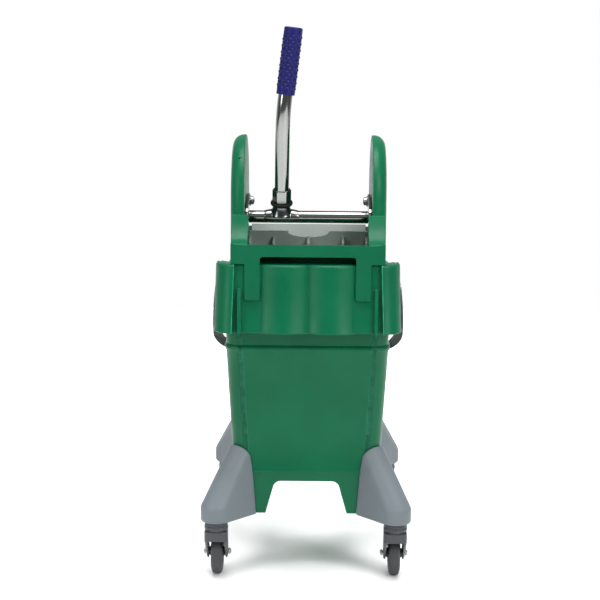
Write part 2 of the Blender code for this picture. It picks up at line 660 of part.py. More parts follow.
def make_base(lift):
    """The floor between the cheeks and the sloping back that carries the fixed press plate."""
    slope = (FIXED_TOP - FIXED_LOW).normalized()
    back = Vector((0, slope.z, -slope.y))
    near = FIXED_LOW + back * 0.0085
    top = FIXED_TOP + back * 0.0085
    outer = top + back * PLATE_T
    floor_top = CHEEK_BOTTOM + 0.008
    meet = near + slope * ((floor_top - near.z) / slope.z)
    under = floor_top - PLATE_T
    turn_y = near.y + back.y * PLATE_T + (under - near.z - back.z * PLATE_T) * slope.y / slope.z
    outline = [(JAW_Y - 0.030, floor_top), (JAW_Y - 0.030, under), (turn_y, under), (outer.y, outer.z),
               (top.y, top.z), (meet.y, floor_top)]
    half = CHEEK_IN - GAP
    base = solid("wringer_base", prism(outline, "yz", -half, half), "green", lift)
    drains = slots([i * 0.030 for i in range(-3, 4)], [0], Vector((0, JAW_Y + 0.012, floor_top)), Matrix.Rotation(
        math.radians(90), 4, "X"), 0.010, 0.012, 0.02)
    combine(base, cutter("floor_drains", drains, lift), "DIFFERENCE")
    tilt = Matrix.Rotation(-math.atan2(slope.y, slope.z), 4, "X")
    windows = slots([-0.078, -0.026, 0.026, 0.078], [0.045, 0.110], near, tilt, 0.019, 0.024, 0.02)
    combine(base, cutter("back_windows", windows, lift), "DIFFERENCE")


def make_fixed_plate(lift):
    """A sloping perforated plate with ribs behind it."""
    slope = (FIXED_TOP - FIXED_LOW).normalized()
    length = (FIXED_TOP - FIXED_LOW).length
    tilt = Matrix.Translation(FIXED_LOW) @ Matrix.Rotation(-math.atan2(slope.y, slope.z), 4, "X")
    plate = box((-PLATE_HALF, 0, 0.001), (PLATE_HALF, PLATE_T, length))
    ribs = join(*[box((x - 0.0015, PLATE_T - 0.001, 0.004), (x + 0.0015, 0.0082, length - 0.012))
                  for x in (-0.1035, -0.052, 0.0, 0.052, 0.1035)])
    for mesh in (plate, ribs):
        bmesh.ops.transform(mesh, matrix=tilt, verts=mesh.verts)
    fixed = solid("fixed_press_plate", plate, "press", lift)
    combine(fixed, cutter("fixed_ribs", ribs, lift), "UNION")
    columns = [-0.085, -0.068, -0.034, -0.017, 0.017, 0.034, 0.068, 0.085]
    holes = slots(columns, [0.030, 0.065, 0.100, 0.135], FIXED_LOW, tilt.to_3x3().to_4x4(), 0.004, 0.011, 0.02)
    combine(fixed, cutter("fixed_holes", holes, lift), "DIFFERENCE")


# ---------------------------------------------------------------- moving press plate

def make_moving_plate(axis):
    """An upright perforated plate with a dipped top, back ribs and hinge knuckles on the pin."""
    back_y = JAW_Y + 0.0085
    dip = [(0.037 * math.cos(a), MOVING_TOP - 0.011 * math.sin(a) ** 0.8) for a in
           (math.pi * i / 10 for i in range(11))]
    top = [(PLATE_HALF, MOVING_TOP)] + dip + [(-PLATE_HALF, MOVING_TOP)]
    outline = [(-PLATE_HALF, JAW_Z - 0.008), (PLATE_HALF, JAW_Z - 0.008)] + top
    plate = solid("moving_press_plate", prism(outline, "xz", back_y, back_y + PLATE_T), "press", axis)
    rib = [(back_y + 0.001, JAW_Z - 0.008), (back_y + 0.001, JAW_Z + 0.1115), (back_y - 0.0030, JAW_Z + 0.1100),
           (back_y - 0.0120, JAW_Z + 0.1010), (back_y - 0.0145, JAW_Z + 0.004)]
    rib += arc((JAW_Y, JAW_Z), 0.0075, 170, 270, 5)
    rib += [(back_y - 0.0045, JAW_Z - 0.0075)]
    places = (-0.104, -0.062, 0.0, 0.062, 0.104)
    ribs = join(*[prism(rib, "yz", x - 0.002, x + 0.002) for x in places])
    combine(plate, cutter("moving_ribs", ribs, axis), "UNION")
    bore = turned((-0.13, JAW_Y, JAW_Z), X, [(0, round_hole(0.004, 16)), (0.26, round_hole(0.004, 16))], 16)
    combine(plate, cutter("moving_bore", bore, axis), "DIFFERENCE")
    columns = [-0.090, -0.076, -0.044, -0.018, 0.018, 0.044, 0.076, 0.090]
    holes = slots(columns, [0.038, 0.078], Vector((0, back_y, JAW_Z)), Matrix.Identity(4), 0.0035, 0.014, 0.01)
    combine(plate, cutter("moving_holes", holes, axis), "DIFFERENCE")


# ---------------------------------------------------------------- lever

def crank_outline():
    """The plate that joins the cross bar to the pivot, as two round ends and straight sides."""
    bar = Vector((BAR_Y, BAR_Z))
    pivot = Vector((PIVOT_Y, PIVOT_Z))
    lean = math.degrees(math.atan2(pivot.y - bar.y, pivot.x - bar.x))
    spread = math.degrees(math.acos((CRANK_BAR_R - CRANK_PIVOT_R) / (pivot - bar).length))
    at_pivot = arc(pivot, CRANK_PIVOT_R, lean - spread, lean + spread, 10)
    return at_pivot + arc(bar, CRANK_BAR_R, lean + spread, lean + 360 - spread, 10)


def make_lever(lift):
    axis = empty("lever_axis", (0, PIVOT_Y, PIVOT_Z), lift)
    crank_in = 0.1060
    crank_out = 0.1115
    bolt_hole = round_hole(0.005, 16)
    for side, word in ((-1, "left"), (1, "right")):
        plate = prism(crank_outline(), "yz", *sorted((side * crank_in, side * crank_out)))
        crank = solid("crank_plate_" + word, plate, "chrome", axis)
        hole = turned((side * 0.1, PIVOT_Y, PIVOT_Z), X * side, [(0, bolt_hole), (0.02, bolt_hole)], 16)
        combine(crank, cutter("crank_hole_" + word, hole, axis), "DIFFERENCE")
        place = (0, PIVOT_Y, PIVOT_Z)
        nut = [(0.0992, bolt_hole), (0.0992, 0.0072), (crank_in - 0.0015, 0.0076), (crank_in - 0.0015, 0.0098),
               (crank_in - GAP, 0.0098), (crank_in - GAP, bolt_hole)]
        solid("pivot_nut_" + word, turned(place, X * side, nut, 16, hollow=True), "steel", axis)
        bolt = [(0.0985, 0.005), (CHEEK_OUT + 2 * GAP, 0.005), (CHEEK_OUT + 2 * GAP, 0.0095),
                (CHEEK_OUT + 0.0018, 0.0095), (CHEEK_OUT + 0.0028, 0.0075)]
        solid("pivot_bolt_" + word, turned(place, X * side, bolt, 16), "steel", axis)
        bush = [(CHEEK_IN - 0.0004, bolt_hole), (CHEEK_IN - 0.0004, 0.0078), (CHEEK_OUT, 0.0078),
                (CHEEK_OUT, bolt_hole)]
        solid("pivot_bush_" + word, turned(place, X * side, bush, 16, hollow=True), "brass", lift)
        solid("return_spring_" + word, spring_mesh(side), "steel", lift)

    bar_end = crank_in - GAP
    bar = [Vector((-bar_end, BAR_Y, BAR_Z)), Vector((bar_end, BAR_Y, BAR_Z))]
    solid("cross_bar", sweep(bar, BAR_R, 16, bore=BAR_R - 0.002), "chrome", axis)

    centre = Vector((LEVER_X, BAR_Y, BAR_Z))
    up = (BEND - centre).normalized()
    saddle = [(-0.031, 0.0125), (-0.024, 0.0150), (0.024, 0.0150), (0.031, 0.0125)]
    clamp = solid("lever_clamp", turned(centre, X, saddle, 16), "chrome", axis)
    socket = turned(centre, up, [(0.006, 0.0215), (0.014, 0.0175), (0.0235, 0.0150)], 16)
    combine(clamp, cutter("clamp_socket", socket, axis), "UNION")
    under = box((-0.04, -0.04, -0.04), (0.04, 0.04, 0.0))
    stand = Matrix.Translation(centre) @ Z.rotation_difference(up).to_matrix().to_4x4()
    bmesh.ops.transform(under, matrix=stand, verts=under.verts)
    combine(clamp, cutter("clamp_under", under, axis), "DIFFERENCE")
    bar_hole = turned(centre, X, [(-0.05, round_hole(BAR_R, 16)), (0.05, round_hole(BAR_R, 16))], 16)
    combine(clamp, cutter("clamp_bore", bar_hole, axis), "DIFFERENCE")

    bore = round_hole(TUBE_R, 20)
    collar = [(0.0238, bore), (0.0238, 0.0175), (0.0255, 0.0195), (0.0285, 0.0195), (0.0302, 0.0178),
              (0.0302, bore)]
    solid("lever_collar", turned(centre, up, collar, 20, hollow=True), "black", axis)
    hexagon = [(0.0305, 0.0158), (0.0318, 0.0166), (0.0522, 0.0166), (0.0535, 0.0158)]
    blank = turned(centre, up, hexagon, 6, start=0)
    nut = solid("lever_nut", blank, "chrome", axis)
    nut_bore = turned(centre, up, [(0.02, bore), (0.06, bore)], 20)
    combine(nut, cutter("nut_bore", nut_bore, axis), "DIFFERENCE")

    start = centre + up * 0.0238
    line = (GRIP_TOP - BEND).normalized()
    path = [start, *bend_points(start, BEND, GRIP_TOP, 0.030, 4), GRIP_TOP - line * 0.005]
    solid("lever_tube", sweep(path, TUBE_R, 14, bore=TUBE_R - 0.002), "chrome", axis)

    # the grip is closed at the top, over the tube's end
    foot = BEND + line * (GRIP_LOW_Z - BEND.z) / line.z
    span = (GRIP_TOP - foot).length
    hole = round_hole(TUBE_R, 18)
    grip = [(span - 0.004, hole), (0.0, hole), (0.0, GRIP_R - 0.001), (0.002, GRIP_R), (span - 0.006, GRIP_R),
            (span - 0.001, GRIP_R - 0.0025), (span, GRIP_R - 0.006)]
    solid("lever_grip", turned(foot, line, grip, 18), "blue", axis)


def bend_points(start, corner, end, reach, steps):
    """A smooth corner in a straight-sided path."""
    first = corner + (start - corner).normalized() * reach
    last = corner + (end - corner).normalized() * reach
    points = []
    for i in range(steps + 1):
        t = i / steps
        points.append(first * (1 - t) ** 2 + corner * 2 * t * (1 - t) + last * t ** 2)
    return points


def spring_mesh(side):
    """A torsion spring round the bush, with a short leg at each end."""
    turns, steps, coil, wire = 4, 10, 0.0115, 0.0011
    first, last = CHEEK_IN + WALL + 0.003, CHEEK_OUT - WALL - 0.003
    path = [Vector((side * first, PIVOT_Y + coil, PIVOT_Z - 0.016))]
    count = turns * steps
    for i in range(count + 1):
        angle = 2 * math.pi * i / steps
        x = first + (last - first) * i / count
        path.append(Vector((side * x, PIVOT_Y + coil * math.cos(angle), PIVOT_Z + coil * math.sin(angle))))
    path.append(Vector((side * last, PIVOT_Y + coil, PIVOT_Z + 0.016)))
    return sweep(path, wire, 5)


def make_wringer(frame):
    lift = empty("wringer_lift", (0, 0, RIM_Z), frame)
    for side, word in ((-1, "left"), (1, "right")):
        make_cheek(lift, side, word)
    make_hook_panel(lift)
    make_base(lift)
    make_fixed_plate(lift)
    jaw_axis = empty("press_plate_axis", (0, JAW_Y, JAW_Z), lift)
    make_moving_plate(jaw_axis)
    pin_half = CHEEK_IN + 0.003
    pin = [(-pin_half, 0.0035), (-pin_half + 0.0005, 0.004), (pin_half - 0.0005, 0.004), (pin_half, 0.0035)]
    solid("press_plate_pin", turned((0, JAW_Y, JAW_Z), X, pin, 16), "steel", lift)
    make_lever(lift)


def clear_scene():
    for item in list(bpy.data.objects):
        bpy.data.objects.remove(item, do_unlink=True)


def main():
    clear_scene()
    frame = empty("bucket_frame", (0, 0, 0))
    frame.location = (0, FRAME_Y, 0)
    make_bucket(frame)
    shape = loft([tub_ring(z, 0.0012 + GAP) for z in (0.04, 0.30, BEAD_Z - 0.02)])
    envelope = cutter("tub_envelope", shape, frame)
    for side in (-1, 1):
        for end in (-1, 1):
            make_leg(frame, side, end, envelope)
            make_caster(frame, side, end)
    make_bail(frame)
    make_wringer(frame)


main()
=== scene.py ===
"""The looks of a mop bucket with a down-press wringer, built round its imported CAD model.

Metres, +Z up; the wringer end faces -Y. Meshes are made in the bucket's own coordinates, whose
Y is measured from the middle between the casters; piece() moves them into the frame.
"""
import json
import math

import bmesh
import bpy
from mathutils import Matrix, Vector


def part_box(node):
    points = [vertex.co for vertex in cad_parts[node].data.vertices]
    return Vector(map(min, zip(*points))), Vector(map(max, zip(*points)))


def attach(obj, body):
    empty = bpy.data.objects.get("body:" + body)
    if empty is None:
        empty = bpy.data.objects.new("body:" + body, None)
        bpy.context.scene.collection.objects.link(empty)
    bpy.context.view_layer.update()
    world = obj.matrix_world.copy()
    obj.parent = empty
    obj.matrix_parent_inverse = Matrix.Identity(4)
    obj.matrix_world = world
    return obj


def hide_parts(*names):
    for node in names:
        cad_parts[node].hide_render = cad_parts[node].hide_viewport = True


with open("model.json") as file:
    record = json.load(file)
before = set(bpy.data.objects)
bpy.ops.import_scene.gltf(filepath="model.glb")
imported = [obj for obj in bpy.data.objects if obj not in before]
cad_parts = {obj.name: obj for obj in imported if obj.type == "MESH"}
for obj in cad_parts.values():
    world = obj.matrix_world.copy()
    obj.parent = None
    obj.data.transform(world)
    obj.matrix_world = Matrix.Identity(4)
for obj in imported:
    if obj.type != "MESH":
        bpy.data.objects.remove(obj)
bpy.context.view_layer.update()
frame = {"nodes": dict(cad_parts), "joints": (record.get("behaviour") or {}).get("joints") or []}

JOINTS = {joint["name"]: Vector(joint["pos_m"]) for joint in frame["joints"] if "pos_m" in joint}
MID_Y = (JOINTS["swivel_front_left"].y + JOINTS["swivel_rear_left"].y) / 2
X = Vector((1, 0, 0))
Y = Vector((0, 1, 0))
Z = Vector((0, 0, 1))
GAP = 0.0003


def spot(joint):
    """A joint's place in bucket coordinates."""
    return JOINTS[joint] - Y * MID_Y


def extent(node):
    """(lowest corner, highest corner, middle) of a CAD node in bucket coordinates."""
    low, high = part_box(node)
    low = low - Y * MID_Y
    high = high - Y * MID_Y
    return low, high, (low + high) / 2


# ---- dimensions

WALL = 0.0035
LOW, HIGH, _ = extent("bucket")
FOOT_Z = LOW.z
RIM_Z = HIGH.z
FLOOR_Z = FOOT_Z + 0.08
TUB_HALF_X = 0.131
TUB_SLOPE_X = 0.057
TUB_END_Y = 0.165
TUB_SLOPE_Y = 0.08
TUB_CORNER = 0.03
BEAD_Z = RIM_Z - 0.1555
RIM_DROP = 0.0485
RIM_ROUND = 0.005
SKIRT_Z = RIM_Z - 0.121
SKIRT_RISE = 0.0255
DROP_FROM_Y = -0.185
DROP_TO_Y = -0.115
SKIRT_HALF_X = 0.1605
SKIRT_FLARE = 0.0045
LOBE = 0.014
SKIRT_END_Y = -LOW.y - LOBE
SKIRT_CORNER = 0.034
WING = 0.6
SPOUT = 0.012
SPOUT_HALF = 0.06
FIN_X = 0.119
FIN_TOP = RIM_Z - 0.0425

FIN_OUT = 0.008
FIN_HALF = 0.0025
BOSS_X = 0.1665
EYE_T = 0.007
EYE_R = 0.0125
BAIL_SCREW_DEPTH = 0.0075

PANEL_HIGH = extent("hook_panel")[1]
HOOK_IN = 0.083
HOOK_OUT = 0.1095
SHOULDER_IN = 0.1045
SHOULDER_Z = 0.609
TONGUE_Z = 0.552
PLATE_CLEAR = 0.0006
CHEEK_LOW, CHEEK_HIGH, _ = extent("cheek_right")
CHEEK_R = (CHEEK_HIGH.y - CHEEK_LOW.y) / 2
CHEEK_MID = ((CHEEK_HIGH.y + CHEEK_LOW.y) / 2, CHEEK_HIGH.z - CHEEK_R)
CHEEK_IN = CHEEK_LOW.x
CHEEK_OUT = 0.1365
EDGE_ROUND = 0.02

WHEEL_LOW, WHEEL_HIGH, _ = extent("tyre_front_right")
WHEEL_R = (WHEEL_HIGH.z - WHEEL_LOW.z) / 2
WHEEL_HALF = (WHEEL_HIGH.x - WHEEL_LOW.x) / 2
SHELL = 0.0042
TUBE_R = 0.0125
TUBE_BORE = TUBE_R + 0.0004
TUBE_X = -0.048
BEND = Vector((-0.045, -0.206, 0.829))
GRIP_TOP = Vector((-0.0275, -0.206, 0.977))
GRIP_FOOT_Z = 0.8625
FLOOR_SIZE = 2.8


# ---- mesh tools

def loft(rings, loop=False):
    """Skin a row of equal rings; the ends are capped, or joined when loop is set."""
    mesh = bmesh.new()
    rows = [[mesh.verts.new(point) for point in ring] for ring in rings]
    pairs = list(zip(rows, rows[1:]))
    if loop:
        pairs.append((rows[-1], rows[0]))
    for low, high in pairs:
        for i in range(len(low)):
            j = (i + 1) % len(low)
            mesh.faces.new((low[i], low[j], high[j], high[i]))
    if not loop:
        mesh.faces.new(rows[0])
        mesh.faces.new(rows[-1])
    bmesh.ops.recalc_face_normals(mesh, faces=mesh.faces)
    return mesh


def circle(centre, axis, radius, sides, start=0.5):
    turn = Z.rotation_difference(Vector(axis)).to_matrix()
    points = []
    for i in range(sides):
        angle = 2 * math.pi * (i + start) / sides
        spoke = Vector((math.cos(angle), math.sin(angle), 0))
        points.append(Vector(centre) + turn @ spoke * radius)
    return points


def turned(centre, axis, profile, sides=48, hollow=False, start=0.5):
    """Rings of (distance along the axis, radius) about an axis; a hollow profile closes on itself."""
    axis = Vector(axis).normalized()
    rings = [circle(Vector(centre) + axis * along, axis, radius, sides, start)
             for along, radius in profile]
    return loft(rings, loop=hollow)


def doubled(half):
    """A half outline, then its mirror image in the opposite order."""
    return half + [(-a, b) for a, b in reversed(half)]


def rounded(profile, radius, steps=4):
    """A profile whose inner corners are rounded; the end points stay."""
    points = [Vector(point) for point in profile]
    made = [tuple(points[0])]
    for before, corner, after in zip(points, points[1:], points[2:]):
        back = before - corner
        ahead = after - corner
        reach = min(radius, back.length * 0.45, ahead.length * 0.45)
        first = corner + back.normalized() * reach
        last = corner + ahead.normalized() * reach
        made += [tuple(point) for point in corner_curve(first, corner, last, steps)]
    made.append(tuple(points[-1]))
    return made


def prism(outline, plane, low, high):
    """Extrude a flat outline: plane "yz" runs along X, "xz" along Y and "xy" along Z."""
    put = {"yz": lambda a, b, c: (c, a, b), "xz": lambda a, b, c: (a, c, b),
           "xy": lambda a, b, c: (a, b, c)}[plane]
    return loft([[Vector(put(a, b, c)) for a, b in outline] for c in (low, high)])


def box(low, high):
    corners = [(low[0], low[1]), (high[0], low[1]), (high[0], high[1]), (low[0], high[1])]
    return prism(corners, "xy", low[2], high[2])


def quarter(radius, angles):
    """(distance in, distance down) at some angles round the edge of a quarter circle."""
    turns = [math.radians(angle) for angle in angles]
    return [(radius * (1 - math.cos(turn)), radius * (1 - math.sin(turn))) for turn in turns]


def side_box(side, inner, outer, low, high):
    """A box on one side of the middle, between two distances from it."""
    a, b = sorted((side * inner, side * outer))
    return box((a, *low), (b, *high))


def arc(centre, radius, start, end, steps):
    points = []
    for i in range(steps + 1):
        angle = math.radians(start + (end - start) * i / steps)
        points.append((centre[0] + radius * math.cos(angle), centre[1] + radius * math.sin(angle)))
    return points


def inset(outline, distance):
    """Move every side of a convex anticlockwise outline inward."""
    moved = []
    count = len(outline)
    for i, point in enumerate(outline):
        before = Vector(point) - Vector(outline[i - 1])
        after = Vector(outline[(i + 1) % count]) - Vector(point)
        in_a = Vector((-before.y, before.x)).normalized()
        in_b = Vector((-after.y, after.x)).normalized()
        middle = (in_a + in_b).normalized()
        moved.append(tuple(Vector(point) + middle * distance / max(0.5, middle.dot(in_a))))
    return moved


def smooth_step(low, high, value):
    share = min(1.0, max(0.0, (value - low) / (high - low)))
    return share * share * (3 - 2 * share)


def hull(points):
    mesh = bmesh.new()
    for point in points:
        mesh.verts.new(point)
    made = bmesh.ops.convex_hull(mesh, input=mesh.verts)
    loose = [item for item in made["geom_interior"] if isinstance(item, bmesh.types.BMVert)]
    bmesh.ops.delete(mesh, geom=loose, context="VERTS")
    return mesh


def frames_along(path):
    """(point, turn) at each point of a path, where the turn carries Z along the path without twist."""
    made = []
    heading = Z
    turn = Matrix.Identity(3)
    for i, point in enumerate(path):
        direction = (path[min(len(path) - 1, i + 1)] - path[max(0, i - 1)]).normalized()
        turn = heading.rotation_difference(direction).to_matrix() @ turn
        heading = direction
        made.append((point, turn))
    return made


def sweep(path, radius, sides=32, bore=0.0):
    """A round bar along a path; with a bore it is a tube, open at both ends."""
    def rows(size):
        unit = circle((0, 0, 0), Z, size, sides)
        return [[point + turn @ spoke for spoke in unit] for point, turn in frames_along(path)]
    if bore:
        return loft(rows(radius) + rows(bore)[::-1], loop=True)
    return loft(rows(radius))


def corner_curve(first, corner, last, steps):
    """Points of a smooth corner between two points."""
    return [first * (1 - t) ** 2 + corner * 2 * t * (1 - t) + last * t ** 2
            for t in (i / steps for i in range(steps + 1))]


def mesh_data(name, mesh):
    data = bpy.data.meshes.new(name)
    mesh.to_mesh(data)
    mesh.free()
    return data


def placed(name, data):
    """An object in the scene."""
    made = bpy.data.objects.new(name, data)
    bpy.context.scene.collection.objects.link(made)
    return made


def evaluated(item, *others):
    """The bmesh of an object with its modifiers; it and the other scratch objects are removed."""
    graph = bpy.context.evaluated_depsgraph_get()
    mesh = bmesh.new()
    mesh.from_mesh(item.evaluated_get(graph).to_mesh())
    for scratch in (item, *others):
        data = scratch.data
        bpy.data.objects.remove(scratch)
        bpy.data.meshes.remove(data)
    return mesh


def combine(mesh, other, operation="DIFFERENCE"):
    """The union, difference or intersection of two closed bmeshes."""
    base = placed("scratch", mesh_data("scratch", mesh))
    tool = placed("scratch", mesh_data("scratch", other))
    step = base.modifiers.new("step", "BOOLEAN")
    step.operation = operation
    step.object = tool
    step.solver = "EXACT"
    made = evaluated(base, tool)
    bmesh.ops.remove_doubles(made, verts=made.verts, dist=0.00002)
    return made


def drilled(mesh, centre, axis, radius, low, high, sides):
    """The mesh with a straight round hole between two distances along an axis."""
    return combine(mesh, turned(centre, axis, [(low, radius), (high, radius)], sides))


def join(*meshes):
    whole = bmesh.new()
    for part in meshes:
        data = mesh_data("part", part)
        whole.from_mesh(data)
        bpy.data.meshes.remove(data)
    return whole


def softened(mesh, voxel, rounds):
    """A closed shape remeshed into even quads, with its edges rounded by smoothing."""
    item = placed("scratch", mesh_data("scratch", mesh))
    remesh = item.modifiers.new("remesh", "REMESH")
    remesh.mode = "VOXEL"
    remesh.voxel_size = voxel
    smooth = item.modifiers.new("smooth", "SMOOTH")
    smooth.factor = 0.5
    smooth.iterations = rounds
    return evaluated(item)


def from_cad(node):
    """A CAD node's own solid in bucket coordinates, welded, with its flat faces merged."""
    mesh = bmesh.new()
    mesh.from_mesh(frame["nodes"][node].data)
    bmesh.ops.remove_doubles(mesh, verts=mesh.verts, dist=0.00001)
    bmesh.ops.dissolve_limit(mesh, angle_limit=math.radians(0.5), verts=mesh.verts, edges=mesh.edges)
    bmesh.ops.translate(mesh, verts=mesh.verts, vec=-Y * MID_Y)
    return mesh


def mirrored(mesh, flip_x, flip_y):
    """The same shape on another corner of the bucket."""
    signs = Vector((-1 if flip_x else 1, -1 if flip_y else 1, 1))
    bmesh.ops.scale(mesh, verts=mesh.verts, vec=signs)
    bmesh.ops.recalc_face_normals(mesh, faces=mesh.faces)
    return mesh


def piece(name, mesh, body, slot, *nodes, edge=0.0, segments=2, crease=32, look=None):
    """One visible piece from a bmesh in bucket coordinates, standing for CAD nodes."""
    bmesh.ops.translate(mesh, verts=mesh.verts, vec=Y * MID_Y)
    bmesh.ops.recalc_face_normals(mesh, faces=mesh.faces)
    data = mesh_data(name, mesh)
    data.materials.append(FINISHES[look or slot])
    data.shade_smooth()
    data.set_sharp_from_angle(angle=math.radians(crease))
    made = placed(name, data)
    if edge:
        bevel = made.modifiers.new("edges", "BEVEL")
        bevel.width = edge
        bevel.segments = segments
        bevel.limit_method = "ANGLE"
        bevel.angle_limit = math.radians(crease)
        bevel.use_clamp_overlap = False
        bevel.harden_normals = True
    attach(made, body)
    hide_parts(*nodes)
    return made


# ---- materials

def node(tree, kind, **values):
    """A shader node; values set its properties, or its inputs by name."""
    made = tree.nodes.new("ShaderNode" + kind)
    for name, value in values.items():
        label = name.replace("_", " ").title()
        if hasattr(made, name):
            setattr(made, name, value)
        else:
            made.inputs[label].default_value = value
    return made


def noise(tree, scale, detail=3.0, stretch=(1, 1, 1)):
    """Noise over the object's own coordinates, in cycles per metre."""
    place = node(tree, "TexCoord")
    scaled = node(tree, "Mapping", scale=stretch)
    made = node(tree, "TexNoise", scale=scale, detail=detail)
    tree.links.new(place.outputs["Object"], scaled.inputs["Vector"])
    tree.links.new(scaled.outputs["Vector"], made.inputs["Vector"])
    return made.outputs["Fac"]


def ramp(tree, source, low, high, first, last):
    """Map a value's range onto another."""
    made = node(tree, "MapRange", from_min=low, from_max=high, to_min=first, to_max=last)
    tree.links.new(source, made.inputs["Value"])
    return made.outputs["Result"]


def mixed(tree, factor, first, last):
    """A colour between two others, each a colour or a socket."""
    made = node(tree, "Mix", data_type="RGBA")
    tree.links.new(factor, made.inputs["Factor"])
    for socket, value in ((made.inputs[6], first), (made.inputs[7], last)):
        if isinstance(value, (tuple, list)):
            socket.default_value = (*value[:3], 1.0)
        else:
            tree.links.new(value, socket)
    return made.outputs[2]


def edge_mask(tree, radius):
    """1 on edges and 0 on flats, from how far a rounded normal leans from the true one."""
    true = node(tree, "NewGeometry")
    round_off = node(tree, "Bevel", samples=6, radius=radius)
    dot = node(tree, "VectorMath", operation="DOT_PRODUCT")
    tree.links.new(true.outputs["Normal"], dot.inputs[0])
    tree.links.new(round_off.outputs["Normal"], dot.inputs[1])
    return ramp(tree, dot.outputs["Value"], 0.985, 0.8, 0.0, 1.0)


def bump(tree, height, strength, distance):
    made = node(tree, "Bump", strength=strength, distance=distance)
    tree.links.new(height, made.inputs["Height"])
    return made.outputs["Normal"]


def finish_material(name, colour, rough, metal=0.0, vary=0.12, edge_wear_and_highlight=None, grain=(900.0, 0.2),
                    spread=0.08, stretch=(1, 1, 1), edge=0.0012, shine=0.5):
    """A Principled material: cloudy colour, uneven gloss, fine grain, and edges mixed towards a lighter
    colour that is partly edge wear and partly a painted highlight.
    """
    made = bpy.data.materials.new(name)
    made.use_nodes = True
    made.diffuse_color = (*colour, 1.0)
    tree = made.node_tree
    shader = tree.nodes["Principled BSDF"]
    shader.inputs["Metallic"].default_value = metal
    shader.inputs["Specular IOR Level"].default_value = shine
    dark = tuple(part * (1 - vary) for part in colour)
    light = tuple(min(1.0, part * (1 + vary)) for part in colour)
    clouds = ramp(tree, noise(tree, 14.0, 4.0), 0.35, 0.65, 0.0, 1.0)
    tint = mixed(tree, clouds, dark, light)
    # Edges, broken up by noise, are mixed towards a lighter colour: partly edge wear, partly a painted
    # highlight on rims, fins and ribs.
    if edge_wear_and_highlight:
        rubbed_and_highlit = node(tree, "Math", operation="MULTIPLY")
        tree.links.new(edge_mask(tree, edge), rubbed_and_highlit.inputs[0])
        tree.links.new(ramp(tree, noise(tree, 60.0), 0.3, 0.6, 0.35, 1.0), rubbed_and_highlit.inputs[1])
        tint = mixed(tree, rubbed_and_highlit.outputs["Value"], tint, edge_wear_and_highlight)
    tree.links.new(tint, shader.inputs["Base Color"])
    smears = noise(tree, 45.0, 5.0, stretch)
    gloss = ramp(tree, smears, 0.3, 0.7, max(0.02, rough - spread), rough + spread)
    tree.links.new(gloss, shader.inputs["Roughness"])
    size, strength = grain
    texture = bump(tree, noise(tree, size, 2.0, stretch), strength, 0.0002)
    tree.links.new(texture, shader.inputs["Normal"])
    return made


# The edge colours below are lighter than each base: partly edge wear and partly a painted edge
# highlight; green_plastic's pale mint edges are a painted highlight.
LOOKS = {
    "green_plastic": dict(colour=(0.001, 0.093, 0.039), rough=0.36, vary=0.06,
        edge_wear_and_highlight=(0.04, 0.28, 0.16), grain=(700.0, 0.08), shine=0.16),
    "leg_plastic": dict(colour=(0.128, 0.152, 0.165), rough=0.48, vary=0.05,
        edge_wear_and_highlight=(0.22, 0.25, 0.26), grain=(1100.0, 0.25), shine=0.25),
    "caster_plastic": dict(colour=(0.052, 0.056, 0.06), rough=0.45, vary=0.1,
        edge_wear_and_highlight=(0.13, 0.135, 0.14), shine=0.25),
    "hub_plastic": dict(colour=(0.048, 0.051, 0.053), rough=0.5, vary=0.1,
        edge_wear_and_highlight=(0.12, 0.125, 0.125), shine=0.25),
    "tyre_rubber": dict(colour=(0.046, 0.05, 0.052), rough=0.72, vary=0.18,
        edge_wear_and_highlight=(0.085, 0.09, 0.088), grain=(1300.0, 0.4), shine=0.25),
    "bail_plastic": dict(colour=(0.012, 0.022, 0.02), rough=0.42, vary=0.15,
        edge_wear_and_highlight=(0.1, 0.14, 0.13), grain=(800.0, 0.2)),
    "press_plastic": dict(colour=(0.19, 0.222, 0.205), rough=0.36, vary=0.06,
        edge_wear_and_highlight=(0.48, 0.56, 0.52), grain=(800.0, 0.12), shine=0.3),
    "chrome": dict(colour=(0.29, 0.295, 0.285), rough=0.11, metal=1.0, vary=0.04,
                   grain=(350.0, 0.04), spread=0.035, stretch=(1, 1, 0.15)),
    "dark_chrome": dict(colour=(0.16, 0.165, 0.165), rough=0.16, metal=1.0, vary=0.06,
        grain=(300.0, 0.1), spread=0.05),
    "zinc_steel": dict(colour=(0.34, 0.345, 0.335), rough=0.32, metal=1.0, vary=0.1,
        edge_wear_and_highlight=(0.75, 0.75, 0.72), grain=(600.0, 0.15), edge=0.0005),
    "spring_steel": dict(colour=(0.35, 0.35, 0.35), rough=0.34, metal=1.0, grain=(700.0, 0.15)),
    "bush_brass": dict(colour=(0.56, 0.4, 0.16), rough=0.32, metal=1.0, vary=0.1,
        grain=(600.0, 0.15)),
    "collar_rubber": dict(colour=(0.004, 0.0045, 0.0045), rough=0.55, vary=0.15,
        edge_wear_and_highlight=(0.014, 0.014, 0.014), shine=0.15),
    "grip_rubber": dict(colour=(0.0035, 0.0045, 0.085), rough=0.48, vary=0.15,
        edge_wear_and_highlight=(0.045, 0.045, 0.24), grain=(900.0, 0.25), edge=0.0007, shine=0.22),
}
FINISHES = {name: finish_material(name, **look) for name, look in LOOKS.items()}


# ---- tub

def tub_half(z):
    return TUB_HALF_X + TUB_SLOPE_X * (z - FLOOR_Z)


def tub_end(z):
    return TUB_END_Y + TUB_SLOPE_Y * (z - FOOT_Z)


def spout_shape(x):
    return math.cos(math.pi * x / (2 * SPOUT_HALF)) ** 2 if abs(x) < SPOUT_HALF else 0.0


